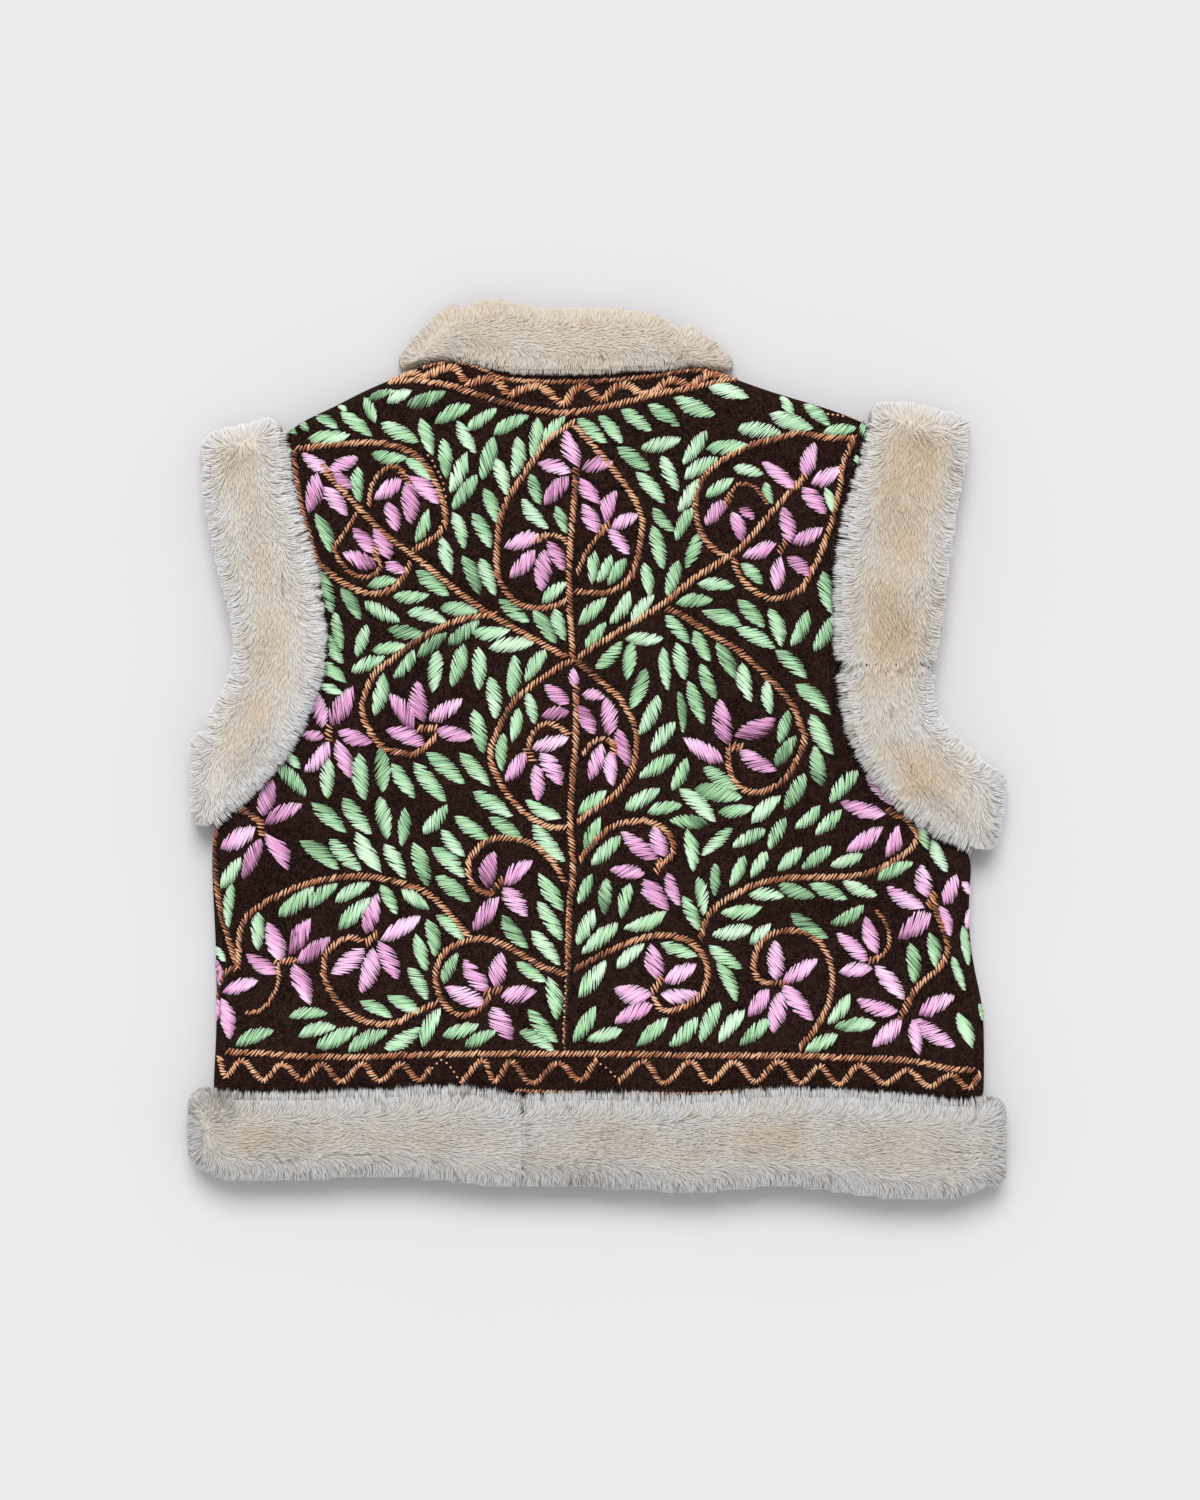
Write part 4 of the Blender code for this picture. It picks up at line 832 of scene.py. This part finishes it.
def motif(place, share, extra):
    # most threads lean one way; one motif in fifteen leans the other, as the hand turned
    x, y, heading, length, *given = place
    breadth = given[0] if given else share * length + extra
    slant = dice.normal(*motifs["slant" if dice.random() < motifs["usualSlant"] else "otherSlant"])
    lift = dice.normal(*motifs["lift"])
    tones = (dice.uniform(*motifs["startTone"]) + lift, dice.uniform(*motifs["endTone"]) + lift)
    breadth *= dice.uniform(*motifs["breadth"])
    tones = tones if dice.random() < motifs["usualOrder"] else tones[::-1]
    bend, skew = (dice.uniform(-most, most) for most in (motifs["bend"], motifs["skew"]))
    return satinMotif(x, y, heading, length, breadth, tones, slant, bend, skew)


embroidery = [
    stitchPiece("backVines", orangeFloss,
                [ropeLine(pairs(line), tone) for tone, *line in vines]
                + [ropeLine(pairs(line), tone, wide) for wide, tone, *line in thinLines]
                + [eyeStitches(*eye) for eye in eyes]
                + [dotLine(pairs(line), tone) for tone, *line in dots]),
    stitchPiece("backBorderWaves", orangeFloss,
                [ropeLine(pairs(run), 0.5, wide=4.6, slant=62, spacing=1.9) for run in hemWaves]
                + [ropeLine(pairs(neckWave), 0.6, wide=6.2, slant=60, spacing=1.8)]),
    stitchPiece("backLeaves", greenFloss, [motif(place, 0.27, 1.9) for place in leaves]),
    stitchPiece("backPetals", pinkFloss, [motif(place, 0.3, 3.0) for place in petals]),
]


# sheepskin trims

# Each strip is a body of underwool on its solid's form, a little inside it, with the pile standing out of it as
# short bent hairs. For each: how many hairs, their length in mm, how much they swirl, how far they reach over
# the suede and how many short partings they have. heading is the way that the middle's pile is combed. middle is
# the tone there, rim and edge how much whiter it gets over the floor and on the suede, the edge shade how much
# painted shade darkens the pile toward the edges, and shade the wool's brightness as a whole.
trims = {
    "collar": {
        "piece": "collarWool", "hairs": 38000, "length": 6.0, "swirl": 0.14, "overSuede": 2.0, "partings": 14,
        "heading": (1, 0), "middle": 0.36, "rim": 0.0, "edge": 0.08, "edgeShade": 0.4, "shade": 0.93},
    "armhole_left": {
        "piece": "armholeLeftWool", "hairs": 50000, "length": 8.5, "swirl": 0.19, "overSuede": 4.4, "partings": 60,
        "heading": (0, -1), "middle": 0.44, "rim": 0.38, "edge": 0.42, "edgeShade": 0.0, "shade": 0.95},
    "armhole_right": {
        "piece": "armholeRightWool", "hairs": 50000, "length": 8.5, "swirl": 0.19, "overSuede": 4.4, "partings": 70,
        "heading": (0, -1), "middle": 0.36, "rim": 0.42, "edge": 0.42, "edgeShade": 0.0, "shade": 0.925},
    "hem_left": {
        "piece": "hemLeftWool", "hairs": 32000, "length": 8.5, "swirl": 0.19, "overSuede": 4.0, "partings": 60,
        "heading": (1, 0), "middle": 0.5, "rim": 0.55, "edge": 0.42, "edgeShade": 0.5, "shade": 0.79},
    "hem_right": {
        "piece": "hemRightWool", "hairs": 51000, "length": 8.5, "swirl": 0.19, "overSuede": 4.0, "partings": 100,
        "heading": (1, 0), "middle": 0.48, "rim": 0.55, "edge": 0.42, "edgeShade": 0.5, "shade": 0.79},
}
pileShape = {
    "inset": 2.2, "wallInset": 0.9,     # how far the underwool lies inside its solid, on suede and on open walls
    "meetWithin": 4,                    # a wall this near another one is left where it is
    "openBelow": 0.75,                  # a wall is a face whose normal rises by less than this
    "underneath": 0.3,                  # hairs to an area below, beside those above
    "width": 0.54, "widths": (0.7, 1.25), "lengths": (0.8, 1.1),
    # how wide the edges' comb is, in mm, and the rounds that soften it toward the middle
    "edgeReach": 18.0, "combRounds": 20,
    # a hair's lean: share of the surface's own direction and how much less near an edge, comb outward and along
    "stand": 0.45, "standLess": 0.1, "combOut": 1.25, "combAlong": 0.9, "scatter": 0.075, "swirlSize": 42,
    "bend": (0.55, 0.45),               # shares of the length below and above a hair's bend
    "tufts": 0.05, "pull": 0.05,        # share of the hairs that lead a tuft, and how far the others are drawn
    # short partings: steps, length of one, and how much the first and each next one turn; how far a parting
    # pushes bend and tip, and within what distance
    "partSteps": 11, "partStep": 0.8, "partTurns": (0.45, 0.25), "aside": (0.6, 1.2, 1.9),
    # a tip's reach past the outline: over air, the least, unevenness by hair, by waves and the waves' length, what
    # it may always go past its root on flat and on walls, and how far a stopped hair sinks
    "overAir": 0.3, "leastReach": 0.4, "ragged": (0.24, 0.3, 6), "free": (0.3, 0.9), "sink": 2.5,
    # tone: mm to full white, drift and its wave length, scatter, and what yellow takes off
    "whiteReach": 22, "toneDrift": (0.06, 30), "toneScatter": 0.06, "yellow": 0.4,
    # depth, which carries painted shade: how dark partings and walls get, the painted shade's mottling between
    # locks and its wave length, and its share at the five points of a hair, least at the root
    "partingShade": 0.8, "wallShade": 0.35, "mottled": (0.3, 7), "depths": (0.27, 0.27, 0.6, 0.6, 0.97),
    # places where the pile was clipped closer: x, y, radius, and what to take off overSuede
    "clipped": (
        (172, 203, 20, 3.5), (165, 176, 14, 2.5), (-181, 82, 24, 4),
    ),
    # places where a strip's outline goes out or in: x, y, radius, and how far that way
    "nudges": (
        (200, 224, 26, 0, 3.2), (237, 206, 17, 3.2, 1.5), (235, 158, 18, -1.8, 0), (-250, 204, 18, -2.6, 3),
        (-241, 78, 28, 2.4, 0), (-106, 277, 24, -2, 1.8), (62, 274, 16, -1.8, -1.8), (-264, -248, 24, -2.2, 0),
        (-258, -223, 10, -1, 2), (-264, -278, 10, 4, 3),
    ),
    # yellowed places: x, y, radius, strength
    "yellowed": (
        (203, 190, 20, 1.5), (193, 163, 16, 0.7), (200, 136, 14, 0.7), (184, 104, 16, 0.45), (190, 76, 18, 1.3),
        (206, 18, 16, -0.7), (182, 30, 9, -0.5), (250, -22, 16, -0.6), (176, 36, 14, 0.4), (208, -16, 17, 1.2),
        (186, 4, 14, 0.45), (-236, 190, 16, 0.55), (-222, 160, 16, 0.3), (-216, 118, 16, 0.4), (-216, 66, 16, 0.7),
        (-238, 62, 12, -0.3), (-224, 26, 18, 0.45), (-232, 0, 16, 0.35), (-226, -246, 22, 0.6), (-180, -240, 18, 0.3),
        (-120, -240, 20, 0.3), (8, -244, 16, 0.3), (108, -247, 24, 0.55), (196, -254, 18, 0.3), (-76, 276, 18, 0.25),
        (-6, 262, 26, 0.25), (-54, -250, 14, -0.5),
    ),
    # darker spots, lighter where the strength is negative: x, y, radius, strength
    "darkerSpots": (
        (194, 84, 30, 0.5), (-246, -231, 13, 0.7), (-8, -276, 30, 0.4), (56, 259, 12, -0.4),
    ),
    # seams that the pile closes over: ends and reach
    "seams": (
        (158, 55, 214, 54, 10),
    ),
    # long partings: a row of points for each
    "longPartings": (
        (176, 55.5, 184, 53.5, 190, 54.5, 196, 53, 203, 51.8, 210, 51), (204, 78, 213, 74, 219, 73),
        (212, 156, 220, 161, 227, 163), (224, 182, 233, 186), (-206, 118, -207, 108, -206, 100),
        (-232, -257, -227, -264, -217, -261, -208, -266, -199, -264),
        (-186, -266, -176, -262, -165, -263, -150, -262, -138, -264),
    ),
}


def woolTrim(node, facts, neighbours):
    body = softCopy(node, facts["piece"], 1)
    points, normals = meshPoints(body.data) / mm, meshPoints(body.data, "normal")
    # a wall that meets another strip, or the other side of a slit, stays where it is
    trees = (faceTree([body.data]), *neighbours)
    meets = np.array([
        any(tree.ray_cast(Vector((p + n * 0.15) * mm), Vector(n), pileShape["meetWithin"] * mm)[0] is not None
            for tree in trees)
        for p, n in zip(points, normals)
    ])
    openWall = (np.abs(normals[:, 2]) < pileShape["openBelow"]) & ~overBack(points[:, :2] + 5 * unit(normals[:, :2]))
    inset = np.where(meets, 0, np.where(openWall, pileShape["wallInset"], pileShape["inset"]))[:, None]
    points -= normals * inset
    for x, y, radius, right, up in pileShape["nudges"]:
        points[:, :2] += nearness(points[:, :2], x, y, radius)[:, None] * (right, up)
    wool = woolMaterial("cream sheepskin underwool, " + facts["piece"], False, facts["shade"])
    return standFor(body, node, points, wool)


def partPile(local, plan, nearEdge, outward, count):
    # Short wandering partings, more of them near the edges, that run the way the pile is combed. Gives
    # each root its distance from the nearest one and the way across it.
    weight = 0.25 + nearEdge ** 2
    begin = local.choice(len(plan), count, replace=False, p=weight / weight.sum())
    firstTurn, nextTurn = pileShape["partTurns"]
    turn = np.arctan2(outward[begin, 1], outward[begin, 0]) + local.normal(0, firstTurn, count)
    place, lines = plan[begin], []
    for _ in range(pileShape["partSteps"]):
        lines.append(np.column_stack((place, turn)))
        turn = turn + local.normal(0, nextTurn, count)
        place = place + pileShape["partStep"] * np.column_stack((np.cos(turn), np.sin(turn)))
    for points in pileShape["longPartings"]:
        line = smoothLine(pairs(points), pileShape["partStep"])
        way = np.gradient(line, axis=0)
        lines.append(np.column_stack((line, np.arctan2(way[:, 1], way[:, 0]))))
    lines = np.concatenate(lines)
    finder = makeFinder([(x, y, 0) for x, y, _ in lines])
    found = [finder.find((x, y, 0))[1:] for x, y in plan]
    own = lines[[number for number, _ in found]]
    across = np.column_stack((-np.sin(own[:, 2]), np.cos(own[:, 2])))
    side = np.sign(np.einsum("ij,ij->i", plan - own[:, :2], across))
    return np.array([distance for _, distance in found]), across * side[:, None]


def spreadRoots(local, mesh, hairs):
    # Roots are spread evenly by area over the mesh's triangles, thinner underneath: a corner plus random
    # shares of two sides. Each has the smooth surface's own direction there.
    mesh.calc_loop_triangles()
    corners = np.empty(len(mesh.loop_triangles) * 3, np.int32)
    mesh.loop_triangles.foreach_get("vertices", corners)
    corners = corners.reshape(-1, 3)
    points, normals = meshPoints(mesh) / mm, meshPoints(mesh, "normal")
    a, b, c = (points[corners[:, k]] for k in range(3))
    cross = np.cross(b - a, c - a)
    area = np.linalg.norm(cross, axis=1) * np.where(unit(cross)[:, 2] < -0.5, pileShape["underneath"], 1)
    picked = local.choice(len(corners), hairs, p=area / area.sum())
    u, v = local.random((2, hairs))
    flip = u + v > 1
    u, v = np.where(flip, 1 - u, u)[:, None], np.where(flip, 1 - v, v)[:, None]
    root = a[picked] + u * (b - a)[picked] + v * (c - a)[picked]
    own = normals[corners[picked]]
    return root, unit((1 - u - v) * own[:, 0] + u * own[:, 1] + v * own[:, 2])


def combField(strips):
    # how far each cell is past the strips' outline, less than nothing inside, and that field's own slope after
    # many rounds of softening: about one long near an edge, and nothing along a strip's middle
    field = layField(strips)
    signed = field["beyond"] - field["edge"]
    softened = signed.copy()
    for _ in range(pileShape["combRounds"]):
        for axis in (0, 1):
            softened = 0.5 * softened + 0.25 * (np.roll(softened, 1, axis) + np.roll(softened, -1, axis))
    return field, signed, np.stack(np.gradient(softened, grid["step"])[::-1], axis=-1)


def growPile(body, joined, facts, seed):
    # A hair leans from the surface toward the strip's nearest edge, more so near it, and its tip is drawn
    # to its tuft's.
    local = np.random.default_rng(seed)
    root, normal = spreadRoots(local, body.data, facts["hairs"])
    plan, count = root[:, :2], len(root)
    field, signed, slope = combField([body, *joined])
    inner = np.maximum(-readField(field, signed, plan), 0)
    outward = readField(field, slope, plan)
    closed = np.zeros(count)
    for *ends, reach in pileShape["seams"]:
        closed = np.maximum(closed, 1 - ease(offStretch(plan, *ends) / reach))
    nearEdge = (1 - ease(inner / pileShape["edgeReach"])) * (1 - closed)
    wall = ease(1.6 - 2.4 * np.abs(normal[:, 2])) * (1 - ease(inner / 5 - 1))
    rootOnSuede = overBack(plan + (inner[:, None] + 4) * unit(outward))
    if facts["piece"] == "collarWool":
        # the back's neck edge runs in under the collar
        rootOnSuede |= outward[:, 1] < -0.4
    hanging = wall * ~rootOnSuede
    parted, across = partPile(local, plan, nearEdge, outward, facts["partings"])

    # what is left of the trim's heading across outward, so that the pile turns along the strip in its middle
    along = np.array(facts["heading"]) - (outward @ facts["heading"])[:, None] * outward
    outwards = ease(1.15 * nearEdge)[:, None]
    comb = outward * outwards * pileShape["combOut"] + along * (1 - outwards) * pileShape["combAlong"]
    comb = np.column_stack((comb, np.zeros(count))) * (1 - 0.75 * hanging)[:, None]
    swirl = np.column_stack([slowWaves(plan, pileShape["swirlSize"], seed + k) for k in (1, 2)] + [np.zeros(count)])
    # the way down a wall, along its own surface, so that no hair sinks into a bulge
    fall = wall[:, None] * (normal * normal[:, 2:] - (0, 0, 1))
    lean = unit(normal * (pileShape["stand"] - pileShape["standLess"] * nearEdge)[:, None] + comb
                + swirl * (facts["swirl"] * (1 - 0.7 * nearEdge))[:, None]
                + fall + local.normal(0, pileShape["scatter"], root.shape))
    length = facts["length"] * (0.8 + 0.25 * nearEdge - 0.2 * wall) * local.uniform(*pileShape["lengths"], count)
    droop = np.column_stack((outward * (0.5 * nearEdge)[:, None], -0.15 - 0.15 * nearEdge))
    droop = droop * (1 - hanging)[:, None] + 0.3 * fall
    below, above = pileShape["bend"]
    middle = root + lean * (below * length)[:, None]
    tip = middle + unit(lean + droop) * (above * length)[:, None]
    bendAside, tipAside, asideWithin = pileShape["aside"]
    aside = across * ease(1 - parted / asideWithin)[:, None]
    middle[:, :2] += bendAside * aside
    tip[:, :2] += tipAside * aside

    heads = local.choice(count, int(count * pileShape["tufts"]), replace=False)
    finder = makeFinder(root[heads])
    own = heads[np.array([finder.find(place)[1] for place in root])]
    pull = pileShape["pull"] * local.uniform(0.5, 1.2, count)[:, None]
    tip += pull * (tip[own] - tip)
    middle += 0.35 * pull * (middle[own] - middle)

    # a tip stops at its reach past the outline: short over the floor, longer where it lies on the suede
    onSuede = overBack(tip[:, :2])
    spread = local.normal(0, 1, count)
    byHair, byWave, waveLength = pileShape["ragged"]
    ragged = 1 + byHair * spread + byWave * slowWaves(plan, waveLength, seed + 4)
    allowed = np.where(onSuede, pileShape["inset"] + facts["overSuede"] * ragged,
                       pileShape["wallInset"] + pileShape["overAir"] + 0.2 * wall + 0.2 * spread) + 3 * closed
    for x, y, radius, less in pileShape["clipped"]:
        away = np.linalg.norm(plan - (x, y), axis=1)
        allowed -= np.where(onSuede, less, 0) * ease(1.5 - away / radius)
    start = readField(field, signed, plan)
    flatFree, wallFree = pileShape["free"]
    for part, share in ((middle, 0.62), (tip, 1.0)):
        end = readField(field, signed, part[:, :2])
        limit = np.maximum(allowed * share, pileShape["leastReach"])
        limit = np.maximum(limit, start + (flatFree + wallFree * wall) * share)
        keep = np.where(end > limit, np.clip((limit - start) / np.maximum(end - start, 0.01), 0.05, 1), 1)[:, None]
        part[:, :2] = plan + keep * (part[:, :2] - plan)
        part[:, 2] = np.maximum(part[:, 2] - pileShape["sink"] * share * (1 - keep[:, 0]), 0.3)

    across = unit(np.cross(tip - root, normal + 0.25 * local.normal(0, 1, root.shape)))
    girth = local.uniform(*pileShape["widths"], count) * (1 + 0.3 * nearEdge * rootOnSuede)
    half = 0.5 * pileShape["width"] * girth[:, None]
    bend = across * half * 0.8
    verts = np.stack((root + across * half, root - across * half, middle - bend, middle + bend, tip), axis=1)
    verts = verts.reshape(-1, 3)
    first = 5 * np.arange(count)[:, None]
    quads, tips = first + np.array((1, 0, 3, 2)), first + np.array((2, 3, 4))
    facing = np.cross(verts[quads[:, 1]] - verts[quads[:, 0]], verts[quads[:, 2]] - verts[quads[:, 0]])
    wrong = np.einsum("ij,ij->i", facing, normal) < 0
    quads[wrong], tips[wrong] = quads[wrong][:, ::-1], tips[wrong][:, ::-1]

    # the tone across the map is the strip's middle plus its edge's white less the yellowed places, and the
    # depth up it, which mixes in painted shade, is less in partings, on walls that hang, in the darker spots,
    # between locks and toward the edges
    drift, driftSize = pileShape["toneDrift"]
    tone = (facts["middle"] + np.where(rootOnSuede, facts["edge"], facts["rim"])
            * (1 - ease(inner / pileShape["whiteReach"])) + drift * slowWaves(plan, driftSize, seed + 3))
    for x, y, radius, strength in pileShape["yellowed"]:
        tone -= pileShape["yellow"] * strength * nearness(plan, x, y, radius)
    tone = np.clip(tone + local.normal(0, pileShape["toneScatter"], count), 0.03, 0.97)[:, None]
    # painted shade in partings and on walls that hang over the floor
    depth = 1 - pileShape["partingShade"] * ease(1.3 - parted / 0.6)
    depth *= 1 - pileShape["wallShade"] * ease(1.5 * wall) * ~rootOnSuede
    for x, y, radius, strength in pileShape["darkerSpots"]:
        depth *= 1 - strength * nearness(plan, x, y, radius)
    # painted shade toward the edges and in a mottle between locks
    mottle, mottleSize = pileShape["mottled"]
    depth *= (1 - facts["edgeShade"] * nearEdge) * (1 - mottle * ease(slowWaves(plan, mottleSize, seed + 5)))
    uv = np.stack((tone + np.array((-0.012, 0.012, 0.01, -0.01, 0)),
                   0.01 + depth[:, None] * np.array(pileShape["depths"])), axis=-1).reshape(-1, 2)
    soft = unit(np.repeat(normal, 5, axis=0) + 0.08 * np.repeat(unit(tip - root), 5, axis=0))
    pile = newPiece(facts["piece"].replace("Wool", "Pile"), verts, [quads, tips],
                    woolMaterial("cream sheepskin pile, " + facts["piece"], True, facts["shade"]),
                    np.clip(uv, 0.002, 0.998), soft)
    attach(pile, "root")
    return pile


trimTrees = {node: faceTree([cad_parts[node].data]) for node in trims}
bodies = {node: woolTrim(node, facts, [tree for other, tree in trimTrees.items() if other != node])
          for node, facts in trims.items()}
for count, (node, facts) in enumerate(trims.items()):
    # the two hem strips lie end to end under one pile
    joined = [body for other, body in bodies.items() if other != node and other[:4] == node[:4] == "hem_"]
    growPile(bodies[node], joined, facts, 100 + 10 * count)
    print(facts["piece"], "and its pile grown")

shown = [thing.data for thing in bpy.context.scene.objects if thing.type == "MESH" and not thing.hide_render]
print("triangles in all:", sum(len(p.vertices) - 2 for mesh in shown for p in mesh.polygons))
